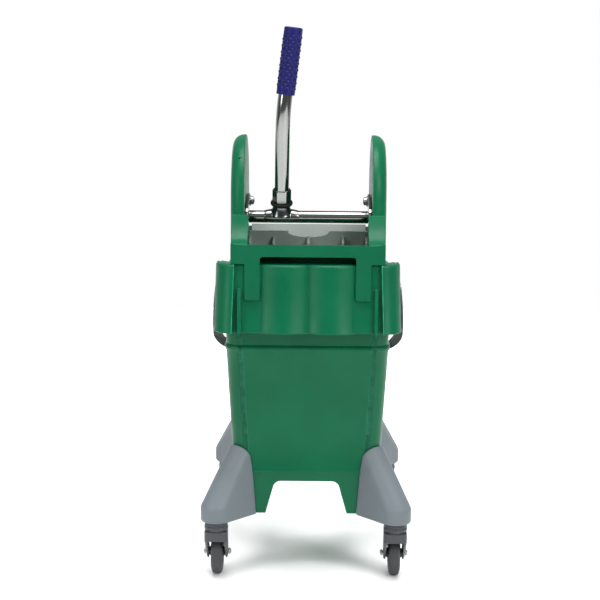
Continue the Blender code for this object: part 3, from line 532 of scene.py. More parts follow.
def near_plan():
    """(share of the flat width, share of the lobe's depth) across half of the near side.

    A round lobe, a flat valley for the hook leg and shoulder, then a wing that swells to the corner.
    """
    flat = SKIRT_HALF_X - SKIRT_CORNER
    margin = 0.003
    valley_in = (HOOK_IN - margin) / flat
    valley_out = (PANEL_HIGH.x + margin) / flat
    steps = 24
    plan = [(valley_in * i / steps, math.sin(math.pi * i / steps) ** 0.8) for i in range(steps)]
    plan += [(valley_in, 0.0), (valley_out, 0.0)]
    for share in (0.25, 0.5, 0.75, 1.0):
        depth = WING * math.sin(math.pi / 2 * share) ** 1.2
        plan.append((valley_out + (1 - valley_out) * share, depth))
    return plan


def ring(half_x, end_y, corner, height, lobe=0.0, spout=0.0):
    """A rounded rectangle, anticlockwise from the near left; height may depend on the place."""
    side, far, bend = 30, 36, 10
    flat_x = half_x - corner
    flat_y = end_y - corner
    half = near_plan()
    near = [(-share, depth) for share, depth in half[:0:-1]] + half
    plan = [(flat_x * share, -end_y, depth) for share, depth in near[:-1]]
    plan += [(x, y, WING) for x, y in arc((flat_x, -flat_y), corner, -90, 0, bend)[:-1]]
    plan += [(half_x, -flat_y + 2 * flat_y * i / side, 0.0) for i in range(side)]
    plan += [(x, y, 0.0) for x, y in arc((flat_x, flat_y), corner, 0, 90, bend)[:-1]]
    plan += [(flat_x - 2 * flat_x * i / far, end_y, 0.0) for i in range(far)]
    plan += [(x, y, 0.0) for x, y in arc((-flat_x, flat_y), corner, 90, 180, bend)[:-1]]
    plan += [(-half_x, flat_y - 2 * flat_y * i / side, 0.0) for i in range(side)]
    plan += [(x, y, WING) for x, y in arc((-flat_x, -flat_y), corner, 180, 270, bend)[:-1]]
    points = []
    for x, y, depth in plan:
        weight = min(1.0, max(0.0, (abs(y) - flat_y) / corner))
        z = height(x, y) if callable(height) else height
        y += -lobe * depth * weight if y < 0 else spout * spout_shape(x) * weight
        points.append(Vector((x, y, z)))
    return points


def rim_height(below):
    """The rim's top less a distance: high at the wringer end, lower past the step in the sides."""
    def height(x, y):
        dip = 0.007 * spout_shape(x) if y > 0 else 0.0
        return RIM_Z - RIM_DROP * smooth_step(DROP_FROM_Y, DROP_TO_Y, y) - dip - below
    return height


def skirt_height(above):
    def height(x, y):
        return SKIRT_Z + SKIRT_RISE * smooth_step(DROP_FROM_Y, DROP_TO_Y, y) + above
    return height


def tub_ring(z, out=0.0):
    return ring(tub_half(z) + out, tub_end(z) + out, TUB_CORNER + out, z)


def skirt_ring(out, height, flare=0.0):
    """A ring of the skirt, whose lower edge stands a little wider than its top."""
    return ring(SKIRT_HALF_X + flare + out, SKIRT_END_Y + out, SKIRT_CORNER + out, height, LOBE, SPOUT)


def tub_rings():
    """One run of rings: under the floor, down the feet, up outside, over the skirt, down inside."""
    shell = 0.0012
    rings = [tub_ring(FLOOR_Z - 0.004, -0.004), tub_ring(FOOT_Z, -0.004), tub_ring(FOOT_Z)]
    for above, out in ((-0.006, 0.0), (-0.0034, 0.0012), (-0.0016, 0.0024), (0.0004, 0.0028),
                       (0.0024, 0.0022), (0.0044, shell)):
        rings.append(tub_ring(FLOOR_Z + above, out))
    rings += [tub_ring(0.26, shell), tub_ring(0.34, shell)]
    for above, out in ((-0.0075, shell), (-0.005, 0.0024), (-0.002, 0.0036), (0.001, 0.0036),
                       (0.0035, 0.0022), (0.0055, 0.0)):
        rings.append(tub_ring(BEAD_Z + above, out))
    wall_x = tub_half(RIM_Z)
    wall_y = tub_end(RIM_Z)
    rings.append(ring(wall_x, wall_y, TUB_CORNER, rim_height(0.008), spout=SPOUT * 0.5))
    rings.append(skirt_ring(-WALL, rim_height(0.0065)))
    for above, out in ((0.0, -WALL), (0.0, -0.0014), (0.0006, -0.0004), (0.002, 0.0),
                       (0.0034, -0.0004), (0.0046, -0.001)):
        rings.append(skirt_ring(out, skirt_height(above), SKIRT_FLARE))
    for inward, down in quarter(RIM_ROUND, range(0, 91, 18)):
        rings.append(skirt_ring(-inward, rim_height(down)))
    lip = 0.003
    for outward, down in quarter(lip, range(90, -1, -30)):
        out = outward - WALL
        height = rim_height(down)
        rings.append(ring(wall_x + out, wall_y + out, TUB_CORNER + out, height, spout=SPOUT * 0.5))
    rings.append(tub_ring(BEAD_Z, -WALL))
    fillet = 0.015
    for inward, up in quarter(fillet, (0, 22, 45, 67, 90)):
        rings.append(tub_ring(FLOOR_Z + up, -WALL - inward))
    return rings


def foot_arch(half_low, half_high, top):
    """A gap with sloping sides and round upper corners, cut up from below the feet."""
    bend = 0.014
    return doubled([(half_low, FOOT_Z - 0.01)] + arc((half_high - bend, top - bend), bend, 8, 90, 8))


def fin(side):
    """A thin upright rib on the skirt, beside the hook leg, with a tapered top."""
    foot = SKIRT_Z - 0.003
    face = -SKIRT_END_Y
    outline = [(face + 0.0018, foot), (face - FIN_OUT, foot), (face - FIN_OUT, FIN_TOP - 0.012),
               (face - 0.003, FIN_TOP), (face + 0.0018, FIN_TOP)]
    a, b = sorted((side * (FIN_X - FIN_HALF), side * (FIN_X + FIN_HALF)))
    return prism(outline, "yz", a, b)


def make_bucket():
    tub = loft(tub_rings())
    reach = tub_end(RIM_Z) + 0.05
    arch_top = FLOOR_Z - 0.019
    tub = combine(tub, prism(foot_arch(0.0765, 0.06, arch_top), "xz", -reach, reach))
    tub = combine(tub, prism(foot_arch(0.105, 0.088, arch_top), "yz", -reach, reach))
    pivot = spot("bail_swing")
    for side in (-1, 1):
        start = side * (SKIRT_HALF_X - 0.001)
        depth = BOSS_X - SKIRT_HALF_X + 0.001
        profile = rounded([(0, 0.0185), (0.003, 0.016), (depth, 0.015)], 0.002)
        boss = turned((start, pivot.y, pivot.z), X * side, profile, 40)
        hole_end = side * (BOSS_X - BAIL_SCREW_DEPTH - 0.0005)
        tub = combine(tub, boss, "UNION")
        tub = drilled(tub, (hole_end, pivot.y, pivot.z), X * side, 0.0035, 0, 0.03, 24)
        tub = join(tub, fin(side))
    piece("bucket_shell", tub, "bucket", "green_plastic", "bucket", edge=0.0007)


# ---- legs and casters

def corner_name(side, end):
    return ("front_" if end < 0 else "rear_") + ("left" if side < 0 else "right")


def leg_points():
    """A leg of the far right corner: a band round the tub's corner, a round boss on the caster."""
    swivel = spot("swivel_rear_right")
    low, high, _ = extent("leg_rear_right")
    points = []
    top_x = tub_half(high.z) + 0.0012 - TUB_CORNER
    top_y = tub_end(high.z) + 0.0012 - TUB_CORNER
    for a, b in arc((top_x, top_y), TUB_CORNER + SHELL, 0, 90, 16):
        lean = abs(math.degrees(math.atan2(b - top_y, a - top_x)) - 45) / 45
        points.append((a, b, high.z + 0.001 - 0.01 * lean ** 3))
    foot = low.z + 0.0008
    for inner_x, inner_y, z in ((0.1005, 0.127, 0.221), (0.097, 0.124, 0.2), (0.0905, 0.1175, foot)):
        points += [(inner_x, tub_end(z) + SHELL, z), (tub_half(z) + SHELL, inner_y, z)]
    points += [(0.0905, tub_end(foot) + SHELL - 0.012, foot)]
    points += [(tub_half(foot) + SHELL - 0.012, 0.1175, foot)]
    boss = high.x - swivel.x + 0.0004
    for z, radius in ((low.z - 0.0006, boss - 0.003), (low.z + 0.003, boss), (low.z + 0.027, boss),
                      (low.z + 0.0335, boss - 0.003), (low.z + 0.038, boss - 0.0075)):
        for a, b in arc((swivel.x, swivel.y), radius, 0, 360, 40)[:-1]:
            points.append((a, b, z))
    return [Vector(point) for point in points]


def make_leg(side, end, envelope):
    """A moulded leg with soft edges, cut to fit the tub's corner."""
    name = corner_name(side, end)
    swivel = spot("swivel_rear_right")
    leg = softened(hull(leg_points()), 0.0016, 6)
    leg = combine(leg, envelope)
    low = extent("leg_rear_right")[0].z
    leg = drilled(leg, (swivel.x, swivel.y, low - 0.01), Z, 0.0058, 0, 0.046, 24)
    leg = mirrored(leg, side < 0, end < 0)
    piece("leg_moulding_" + name, leg, "bucket", "leg_plastic", "leg_" + name)


def cross_slots(centre, axis, reach, width, depth):
    """A cross recess for a screw head."""
    turn = Z.rotation_difference(Vector(axis)).to_matrix().to_4x4()
    bars = [box((-a, -b, -depth), (a, b, depth)) for a, b in ((reach, width), (width, reach))]
    tool = combine(*bars, "UNION")
    bmesh.ops.transform(tool, matrix=Matrix.Translation(Vector(centre)) @ turn, verts=tool.verts)
    return tool


def make_leg_screw(side, end):
    """A pan-head screw through the tub's foot into the leg, driven from inside."""
    name = corner_name(side, end)
    low, high, middle = extent("leg_screw_" + name)
    head = low.x if side > 0 else high.x
    profile = rounded([(0, 0.001), (0, 0.0036), (0.0024, 0.0052), (0.0027, 0.0052), (0.0027, 0.002),
                       (0.016, 0.002)], 0.0006)
    screw = turned((head, middle.y, middle.z), X * side, profile, 24)
    screw = combine(screw, cross_slots((head, middle.y, middle.z), X, 0.0024, 0.0005, 0.0012))
    piece("foot_screw_" + name, screw, "bucket", "zinc_steel", "leg_screw_" + name)


def make_race(name, x, y):
    """The fixed half of a caster: a round housing with a raised band, its lower lip and the stem."""
    low, high, _ = extent("caster_race_" + name)
    radius = (high.x - low.x) / 2
    base = spot("swivel_" + name).z + GAP
    profile = [(low.z, 0.0068), (low.z + 0.0012, 0.0085), (low.z + 0.003, 0.0085),
               (low.z + 0.003, 0.005), (base, 0.005)]
    profile += rounded([(base, 0.01), (base, radius - 0.001), (base + 0.0035, radius),
                        (base + 0.008, radius), (base + 0.0088, radius - 0.0012),
                        (base + 0.0102, radius - 0.0012), (base + 0.011, radius - 0.0004),
                        (high.z - 0.0358, radius - 0.0012), (high.z - 0.0353, 0.007)], 0.0008)
    profile += [(high.z - 0.0353, 0.0055), (high.z - 0.001, 0.0055), (high.z, 0.0045)]
    race = turned((x, y, 0), Z, profile, 48)
    piece("caster_housing_" + name, race, "bucket", "caster_plastic", "caster_race_" + name)


def make_fork(name, x, y, axle):
    """A faired fork: a rounded square cap whose sides run back and down to the axle."""
    top = spot("swivel_" + name).z
    half = 0.0205
    cheek = 0.0055
    lip = top - 0.0172
    points = []
    corner = 0.009
    for z, shrink in ((top, 0.0012), (top - 0.0012, 0.0), (lip, 0.0)):
        for a, b in ((-1, -1), (-1, 1), (1, -1), (1, 1)):
            centre = (x + a * (half - corner), y + b * (half - corner))
            points += [(c, d, z) for c, d in arc(centre, corner - shrink, 0, 360, 24)[:-1]]
    for side in (-1, 1):
        for radius, inward in ((0.0118, 0.003), (0.009, 0.0012)):
            points += [(x + side * (half - inward), a, b)
                       for a, b in arc((axle.y, axle.z), radius, 0, 360, 32)[:-1]]
    fork = hull([Vector(point) for point in points])
    inner = half - cheek
    front = y - half + 0.003
    well = box((x - inner, front, 0.0), (x + inner, axle.y + 0.08, 0.0828))
    mouth = box((x - inner, y - 0.05, 0.0), (x + inner, front + 0.01, lip))
    fork = combine(fork, well)
    fork = combine(fork, mouth)
    fork = drilled(fork, (x, y, 0.07), Z, 0.0053, 0, 0.03, 24)
    fork = drilled(fork, (x - 0.03, axle.y, axle.z), X, 0.0044, 0, 0.06, 24)
    piece("fork_" + name, fork, "fork_" + name, "caster_plastic", "caster_fork_" + name,
          edge=0.0007, crease=28)


def make_axle(name, x, axle):
    """The axle bolt: a domed head with a washer face on the right, a nut on the left."""
    low, high, _ = extent("axle_bolt_" + name)
    reach = high.x - x
    left = x - low.x
    shaft = 0.004
    washer = 0.0208
    profile = [(-left, shaft - 0.0008), (-left + 0.0006, shaft), (-washer - 0.003, shaft),
               (-washer - 0.003, 0.005), (-washer - 0.0026, 0.0055), (-washer - 0.0006, 0.0055),
               (-washer - 0.0003, 0.005), (-washer - 0.0003, shaft), (washer, shaft),
               (washer, 0.0058), (washer + 0.0006, 0.006), (reach - 0.0022, 0.0055),
               (reach - 0.0006, 0.0038), (reach, 0.0015)]
    bolt = turned((x, axle.y, axle.z), X, profile, 32)
    bolt = drilled(bolt, (x + reach - 0.0022, axle.y, axle.z), X, 0.0024, 0, 0.01, 6)
    piece("axle_" + name, bolt, "fork_" + name, "zinc_steel", "axle_bolt_" + name)


def make_wheel(name, axle):
    """A hub with recessed, ribbed sides and a tyre whose walls taper to the tread."""
    half = WHEEL_HALF
    hub_r = 0.0308
    recess = half - 0.0042
    boss = half + 0.0028
    left = rounded([(-boss, 0.0044), (-boss, 0.008), (-recess, 0.0108), (-recess, 0.0248),
                    (-half + 0.0008, 0.0262), (-half + 0.0012, hub_r)], 0.0008, 3)
    hub = turned(axle, X, doubled(left), 48, hollow=True)
    ribs = []
    count = 6
    for face in (-1, 1):
        for i in range(count):
            a, b = sorted((face * (recess - 0.0015), face * (half - 0.0014)))
            rib = box((a, -0.0013, 0.0095), (b, 0.0013, 0.0258))
            turn = Matrix.Rotation(2 * math.pi * i / count, 4, "X")
            bmesh.ops.transform(rib, matrix=Matrix.Translation(axle) @ turn, verts=rib.verts)
            ribs.append(rib)
    hub = combine(hub, join(*ribs), "UNION")
    piece("hub_" + name, hub, "wheel_" + name, "hub_plastic", "wheel_hub_" + name)
    wall = rounded([(-half + 0.0014, hub_r + 0.0002), (-half + 0.0012, hub_r + 0.0012),
                    (-0.0084, WHEEL_R - 0.0022), (-0.0074, WHEEL_R - 0.0004), (-0.004, WHEEL_R),
                    (-0.0006, WHEEL_R)], 0.001, 3)
    seam = (-0.0003, WHEEL_R - 0.0002)
    tyre = turned(axle, X, doubled(wall + [seam]), 72, hollow=True)
    piece("tread_" + name, tyre, "wheel_" + name, "tyre_rubber", "tyre_" + name)


def make_corner(side, end, envelope):
    name = corner_name(side, end)
    swivel = spot("swivel_" + name)
    axle = spot("wheel_turn_" + name)
    make_leg(side, end, envelope)
    make_leg_screw(side, end)
    make_race(name, swivel.x, swivel.y)
    make_fork(name, swivel.x, swivel.y, axle)
    make_axle(name, swivel.x, axle)
    make_wheel(name, axle)


# ---- bail handle

def bail_path():
    """The right half of the hoop's centre line, from the eye down to the middle of the bar."""
    pivot = spot("bail_swing")
    low, high, _ = extent("bail_handle")
    bar_r = 0.006
    eye_x = BOSS_X + GAP + bar_r
    corner = Vector((high.x - bar_r, high.y - bar_r, low.z + bar_r))
    fall = Vector((0, corner.y - pivot.y, corner.z - pivot.z))
    along = fall.normalized()
    bend = 0.055
    first = 0.0095
    path = []
    for i in range(8):
        reach = first + (fall.length - bend - first) * i / 8
        share = min(1, reach / fall.length / 0.75)
        out = eye_x + (corner.x - eye_x) * math.sin(math.pi / 2 * share)
        path.append(Vector((out, pivot.y, pivot.z)) + along * reach)
    for i in range(13):
        turn = math.pi / 2 * i / 12
        path.append(corner - along * bend * (1 - math.sin(turn)) - X * bend * (1 - math.cos(turn)))
    last = path[-1].x
    path += [Vector((last * (1 - i / 8), corner.y, corner.z)) for i in range(1, 9)]
    return path, along


def bail_section(inward, thick):
    """A flat bar's outline (across, through) with lengthwise grooves on both faces."""
    out = 0.0052
    ridges = 4
    width = out + inward
    face = []
    groove = thick - 0.0011
    for i in range(ridges):
        a, b = (out - 0.0016 - (width - 0.0032) * k / ridges for k in (i, i + 1))
        step = (a - b) / 4
        face += [(a, thick), (a - step, groove), (b + step, groove), (b, thick)]
    top = [(out, thick - 0.0014), (out - 0.0006, thick - 0.0003)] + face
    top += [(-inward + 0.0006, thick - 0.0003), (-inward, thick - 0.0014)]
    return top + [(a, -b) for a, b in reversed(top)]


def make_bail():
    """A grooved flat hoop with round eyes, hung on two screws and resting behind the tub."""
    right, along = bail_path()
    path = right + [Vector((-p.x, p.y, p.z)) for p in reversed(right[:-1])]
    normal = X.cross(along).normalized()
    pivot = spot("bail_swing")
    hub = Vector((0, pivot.y, pivot.z))
    rings = []
    total = len(path) - 1
    for i, point in enumerate(path):
        direction = (path[min(total, i + 1)] - path[max(0, i - 1)]).normalized()
        outward = direction.cross(normal).normalized()
        if outward.dot(point - hub) < 0:
            outward = -outward
        share = min(i, total - i) / (total / 2)
        band = smooth_step(0.12, 0.34, share) * (1 - smooth_step(0.42, 0.62, share))
        inward = 0.0052 + 0.0083 * band
        rings.append([point + outward * a + normal * b for a, b in bail_section(inward, 0.0042)])
    handle = loft(rings)
    for side in (-1, 1):
        face = side * (BOSS_X + GAP)
        profile = rounded([(0, 0.004), (0, EYE_R), (EYE_T, EYE_R), (EYE_T, 0.004)], 0.0012)
        eye = turned((face, pivot.y, pivot.z), X * side, profile, 40)
        handle = combine(handle, eye, "UNION")
        start = face - side * 0.005
        handle = drilled(handle, (start, pivot.y, pivot.z), X * side, 0.0045, 0, 0.03, 32)
        make_bail_screw(side)
    piece("bail", handle, "bail", "bail_plastic", "bail_handle", crease=40)


def make_bail_screw(side):
    word = "left" if side < 0 else "right"
    low, high, middle = extent("bail_screw_" + word)
    length = high.x - low.x
    head = length - 0.003
    shank = BAIL_SCREW_DEPTH + GAP
    profile = [(0, 0.0031), (shank, 0.0031), (shank, 0.0041), (head, 0.0041), (head, 0.0081),
               (head + 0.0004, 0.0085), (head + 0.0012, 0.0083), (head + 0.0024, 0.0062),
               (length, 0.003)]
    start = low.x if side > 0 else high.x
    screw = turned((start, middle.y, middle.z), X * side, profile, 40)
    end = start + side * length
    screw = combine(screw, cross_slots((end, middle.y, middle.z), X, 0.0042, 0.0007, 0.0016))
    piece("handle_screw_" + word, screw, "bucket", "zinc_steel", "bail_screw_" + word)


# ---- wringer frame

def cheek_outline():
    """Side view (Y, Z) of a cheek, anticlockwise from its lower near corner."""
    near, far = CHEEK_LOW.y, CHEEK_HIGH.y
    bottom = CHEEK_LOW.z
    shape = [(near + 0.01, bottom), (-0.072, bottom), (far, 0.605)]
    shape += arc(CHEEK_MID, CHEEK_R, 0, 180, 56)
    shape += [(near, 0.53)]
    return shape


def cheek_ring(across, inward):
    return [Vector((across, y, z)) for y, z in inset(cheek_outline(), inward)]


def parting_groove():
    """A thin radial slab that leaves a parting line across the near rim of the left cheek."""
    centre = Vector((0, *CHEEK_MID))
    slab = box((-CHEEK_OUT + 0.006, CHEEK_R - 0.001, -0.0003),
               (-CHEEK_IN - 0.003, CHEEK_R + 0.004, 0.0003))
    turn = Matrix.Rotation(math.radians(139), 4, "X")
    bmesh.ops.transform(slab, matrix=Matrix.Translation(centre) @ turn, verts=slab.verts)
    return slab


def make_cheek(side, word):
    """A hollow moulded side wall with a rounded outer edge and a shallow panel in its outer face."""
    inner = CHEEK_IN
    small = 0.0018
    rows = [(inner + across, down) for across, down in quarter(small, range(0, 91, 30))]
    rows += [(CHEEK_OUT - down, across) for across, down in quarter(EDGE_ROUND, range(0, 91, 9))]
    rows += [(CHEEK_OUT, 0.0235), (CHEEK_OUT - 0.0004, 0.0242), (CHEEK_OUT - 0.0012, 0.0247)]
    cheek = loft([cheek_ring(side * a, b) for a, b in rows])
    hollow_rows = [(inner + WALL, 0.006), (CHEEK_OUT - 0.012, 0.007), (CHEEK_OUT - WALL - 0.001, 0.022)]
    hollow = loft([cheek_ring(side * a, b) for a, b in hollow_rows])
    bottom = CHEEK_LOW.z
    slot = side_box(side, inner + WALL, CHEEK_OUT - 0.008,
                    (-0.16, bottom - 0.01), (-0.09, bottom + 0.03))
    cheek = combine(cheek, hollow)
    cheek = combine(cheek, slot)
    pivot = spot("lever_press")
    pin = spot("press_plate_swing")
    start = side * (inner - 0.01)
    cheek = drilled(cheek, (start, pivot.y, pivot.z), X * side, 0.0083, 0, 0.05, 32)
    cheek = drilled(cheek, (start, pin.y, pin.z), X * side, 0.0044, 0, 0.0165, 24)
    profile = rounded([(0, 0.0092), (0, 0.014), (0.003, 0.013), (0.003, 0.0092)], 0.0008)
    boss_x = side * (CHEEK_OUT - 0.003)
    boss = turned((boss_x, pivot.y, pivot.z), X * side, profile, 40, hollow=True)
    cheek = combine(cheek, boss, "UNION")
    rest_z = RIM_Z - RIM_DROP + GAP
    rest = side_box(side, CHEEK_OUT - 0.002, 0.154, (-0.06, rest_z), (-0.015, rest_z + 0.006))
    cheek = combine(cheek, rest, "UNION")
    if side < 0:
        cheek = combine(cheek, parting_groove())
    piece("side_frame_" + word, cheek, "wringer", "green_plastic", "cheek_" + word, edge=0.0006)


def panel_mesh():
    """The plate over the near rim: hook legs in front, shoulders that sweep up into the side walls."""
    low, high, _ = extent("hook_panel")
    front = low.y
    back = CHEEK_LOW.y - GAP
    seat = RIM_Z + GAP
    crest, slot_top, slope_end = 0.607, 0.5865, 0.5985
    thick, corner, bend = 0.004, 0.003, 0.005
    right = [(HOOK_OUT, crest), (high.x, SHOULDER_Z), (high.x, seat), (HOOK_OUT, seat),
             (HOOK_OUT, low.z + corner), (HOOK_OUT - corner, low.z), (HOOK_IN + corner, low.z),
             (HOOK_IN, low.z + corner)] + arc((HOOK_IN - bend, slot_top - bend), bend, 0, 90, 4)
    plate = prism(doubled(right), "xz", front, front + thick)
    start = front + 0.001
    slope = [(start, crest), (start, crest - thick), (back, slope_end - thick), (back, slope_end)]
    plate = combine(plate, prism(slope, "yz", -HOOK_OUT, HOOK_OUT), "UNION")
    rise = [(start + (back - start) * i / 10, SHOULDER_Z + (high.z - SHOULDER_Z) * (i / 10) ** 2.2)
            for i in range(11)]
    for side in (-1, 1):
        ends = sorted((side * SHOULDER_IN, side * high.x))
        shoulder = prism([(start, seat)] + rise + [(back, seat)], "yz", *ends)
        plate = combine(plate, shoulder, "UNION")
    reach = CHEEK_IN - GAP
    tongue = box((-reach, CHEEK_LOW.y - 0.002, TONGUE_Z), (reach, CHEEK_LOW.y + 0.004, slope_end))
    return combine(plate, tongue, "UNION")


def make_wringer_frame():
    for side, word in ((-1, "left"), (1, "right")):
        make_cheek(side, word)
        make_spring(side, word)
        make_bush(side, word)
    piece("front_hook_panel", panel_mesh(), "wringer", "green_plastic", "hook_panel",
          edge=0.001, segments=3)
    piece("wringer_floor", from_cad("wringer_base"), "wringer", "green_plastic", "wringer_base",
          edge=0.0007)
    piece("far_press_plate", from_cad("fixed_press_plate"), "wringer", "press_plastic",
          "fixed_press_plate", edge=0.0006)
    low, high, middle = extent("press_plate_pin")
    length = high.x - low.x
    profile = [(0, 0.0032), (0.0008, 0.004), (length - 0.0008, 0.004), (length, 0.0032)]
    pin = turned((low.x, middle.y, middle.z), X, profile, 32)
    piece("hinge_pin", pin, "wringer", "zinc_steel", "press_plate_pin")


def make_spring(side, word):
    """A torsion spring round the bush, with a short leg at each end."""
    pivot = spot("lever_press")
    turns, steps, coil, wire = 4, 28, 0.0115, 0.0011
    first, last = CHEEK_IN + WALL + 0.003, CHEEK_OUT - WALL - 0.003
    leg = 0.016
    path = [Vector((side * first, pivot.y + coil, pivot.z - leg))]
    count = turns * steps
    for i in range(count + 1):
        angle = 2 * math.pi * i / steps
        y, z = coil * math.cos(angle), coil * math.sin(angle)
        path.append(Vector((side * (first + (last - first) * i / count), pivot.y + y, pivot.z + z)))
    path.append(Vector((side * last, pivot.y + coil, pivot.z + leg)))
    spring = sweep(path, wire, 10)
    piece("torsion_spring_" + word, spring, "wringer", "spring_steel", "return_spring_" + word)


def make_bush(side, word):
    pivot = spot("lever_press")
    profile = rounded([(CHEEK_IN - 0.0004, 0.0054), (CHEEK_IN - 0.0004, 0.0078), (CHEEK_OUT, 0.0078),
                       (CHEEK_OUT, 0.0054)], 0.0006)
    bush = turned((0, pivot.y, pivot.z), X * side, profile, 40, hollow=True)
    piece("flanged_bush_" + word, bush, "wringer", "bush_brass", "pivot_bush_" + word)


def make_press_plate():
    """The CAD plate, drawn in a little at both ends so that the cranks swing past it."""
    plate = from_cad("moving_press_plate")
    half = extent("moving_press_plate")[1].x
    narrower = Matrix.Scale((half - PLATE_CLEAR) / half, 4, X)
    bmesh.ops.transform(plate, matrix=narrower, verts=plate.verts)
    piece("near_press_plate", plate, "press_plate", "press_plastic", "moving_press_plate",
          edge=0.0006)


# ---- lever

def make_pivot(side, word):
    pivot = spot("lever_press")
    bolt_r = 0.005
    bore = 0.0054
    crank = extent("crank_plate_" + word)
    face = min(abs(crank[0].x), abs(crank[1].x)) - GAP
    profile = rounded([(face - 0.0065, bore), (face - 0.0065, 0.0066), (face - 0.0058, 0.0072),
                       (face - 0.0014, 0.0076), (face - 0.0014, 0.0094), (face - 0.001, 0.0098),
                       (face, 0.0098), (face, bore)], 0.0004, 2)
    nut = turned((0, pivot.y, pivot.z), X * side, profile, 40, hollow=True)
    piece("lock_nut_" + word, nut, "lever", "zinc_steel", "pivot_nut_" + word)
    head = CHEEK_OUT + 2 * GAP
    bolt = [(face - 0.0075, bolt_r - 0.0008), (face - 0.0068, bolt_r), (head, bolt_r), (head, 0.0091),
            (head + 0.0004, 0.0095), (head + 0.001, 0.0094), (head + 0.002, 0.0078),
            (head + 0.0024, 0.004)]
    cap = turned((0, pivot.y, pivot.z), X * side, bolt, 40)
    socket_x = side * (head + 0.0008)
    cap = drilled(cap, (socket_x, pivot.y, pivot.z), X * side, 0.003, 0, 0.01, 6)
    piece("pivot_cap_" + word, cap, "lever", "zinc_steel", "pivot_bolt_" + word)
    piece("crank_" + word, from_cad("crank_plate_" + word), "lever", "chrome", "crank_plate_" + word,
          edge=0.0012, segments=3)


def hex_nut(centre, up):
    """A hexagon whose corners are turned away at both ends."""
    low, high = 0.0305, 0.0535
    radius = 0.0166
    blank = turned(centre, up, [(low, radius), (high, radius)], 6, start=0)
    cone = turned(centre, up, [(low - 0.001, radius - 0.003), (low + 0.0022, radius + 0.0002),
                               (high - 0.0022, radius + 0.0002), (high + 0.001, radius - 0.003)], 64)
    blank = combine(blank, cone, "INTERSECT")
    mouth = turned(centre, up, [(high - 0.0012, TUBE_BORE), (high + 0.002, TUBE_BORE + 0.0032)], 48)
    return combine(drilled(blank, centre, up, TUBE_BORE, 0.02, 0.06, 48), mouth)


def clamp_mesh(centre, up, bar_r):
    """A cast half saddle that flares from the bar into a round seat for the washer."""
    saddle = doubled([(-0.031, 0.0112), (-0.027, 0.0122), (-0.018, 0.014), (-0.009, 0.0147)])
    seat = [(0.006, 0.0208), (0.01, 0.0186), (0.016, 0.0164), (0.0205, 0.015), (0.0235, 0.015)]
    clamp = combine(turned(centre, X, saddle, 48), turned(centre, up, seat, 48), "UNION")
    clamp = softened(clamp, 0.0007, 14)
    under = box((-0.04, -0.04, -0.04), (0.04, 0.04, -0.001))
    stand = Matrix.Translation(centre) @ Z.rotation_difference(up).to_matrix().to_4x4()
    bmesh.ops.transform(under, matrix=stand, verts=under.verts)
    clamp = combine(clamp, under)
    return drilled(clamp, centre, X, bar_r + GAP, -0.05, 0.05, 56)


def grip_mesh(foot, line, span):
    """A closed grip with staggered rows of raised nubs between two smooth bands."""
    body, nub = 0.0153, 0.0016
    around, pitch = 84, 0.0055
    columns = 9
    band = 0.0105
    turn = Z.rotation_difference(line).to_matrix()
    rings = [circle((0, 0, along), Z, radius, around)
             for along, radius in ((span - 0.004, TUBE_BORE), (0, TUBE_BORE), (0, body - 0.0006),
                                   (0.0006, body + 0.0004))]
    first, last = 0.0012, span - 0.003
    steps = 190
    for i in range(steps + 1):
        along = first + (last - first) * i / steps
        ending = smooth_step(span - band - 0.003, span - band - 0.002, along)
        inside = smooth_step(band - 0.001, band, along) * (1 - ending)
        ring_points = []
        for k in range(around):
            angle = 2 * math.pi * (k + 0.5) / around
            rise = 0.0
            row = round((along - band) / pitch)
            for near_row in (row - 1, row, row + 1):
                shift = 0.5 * (near_row % 2)
                turn_share = angle / (2 * math.pi) * columns + shift
                across = (turn_share - round(turn_share)) * 2 * math.pi / columns * body
                up = along - band - near_row * pitch
                rise = max(rise, 1 - (across / 0.003) ** 2 - (up / 0.0032) ** 2)
            swell = 0.0006 * (1 - inside)
            radius = body + swell + nub * inside * math.sqrt(max(0.0, rise))
            ring_points.append(Vector((radius * math.cos(angle), radius * math.sin(angle), along)))
        rings.append(ring_points)
    rings += [circle((0, 0, span - along), Z, body + 0.0006 - drop, around)
              for along, drop in ((0.0018, 0.0003), (0.0009, 0.0009), (0.0003, 0.002),
                                  (0.0, 0.0034), (0.0003, 0.005), (0.0003, 0.012))]
    return loft([[foot + turn @ point for point in row] for row in rings])


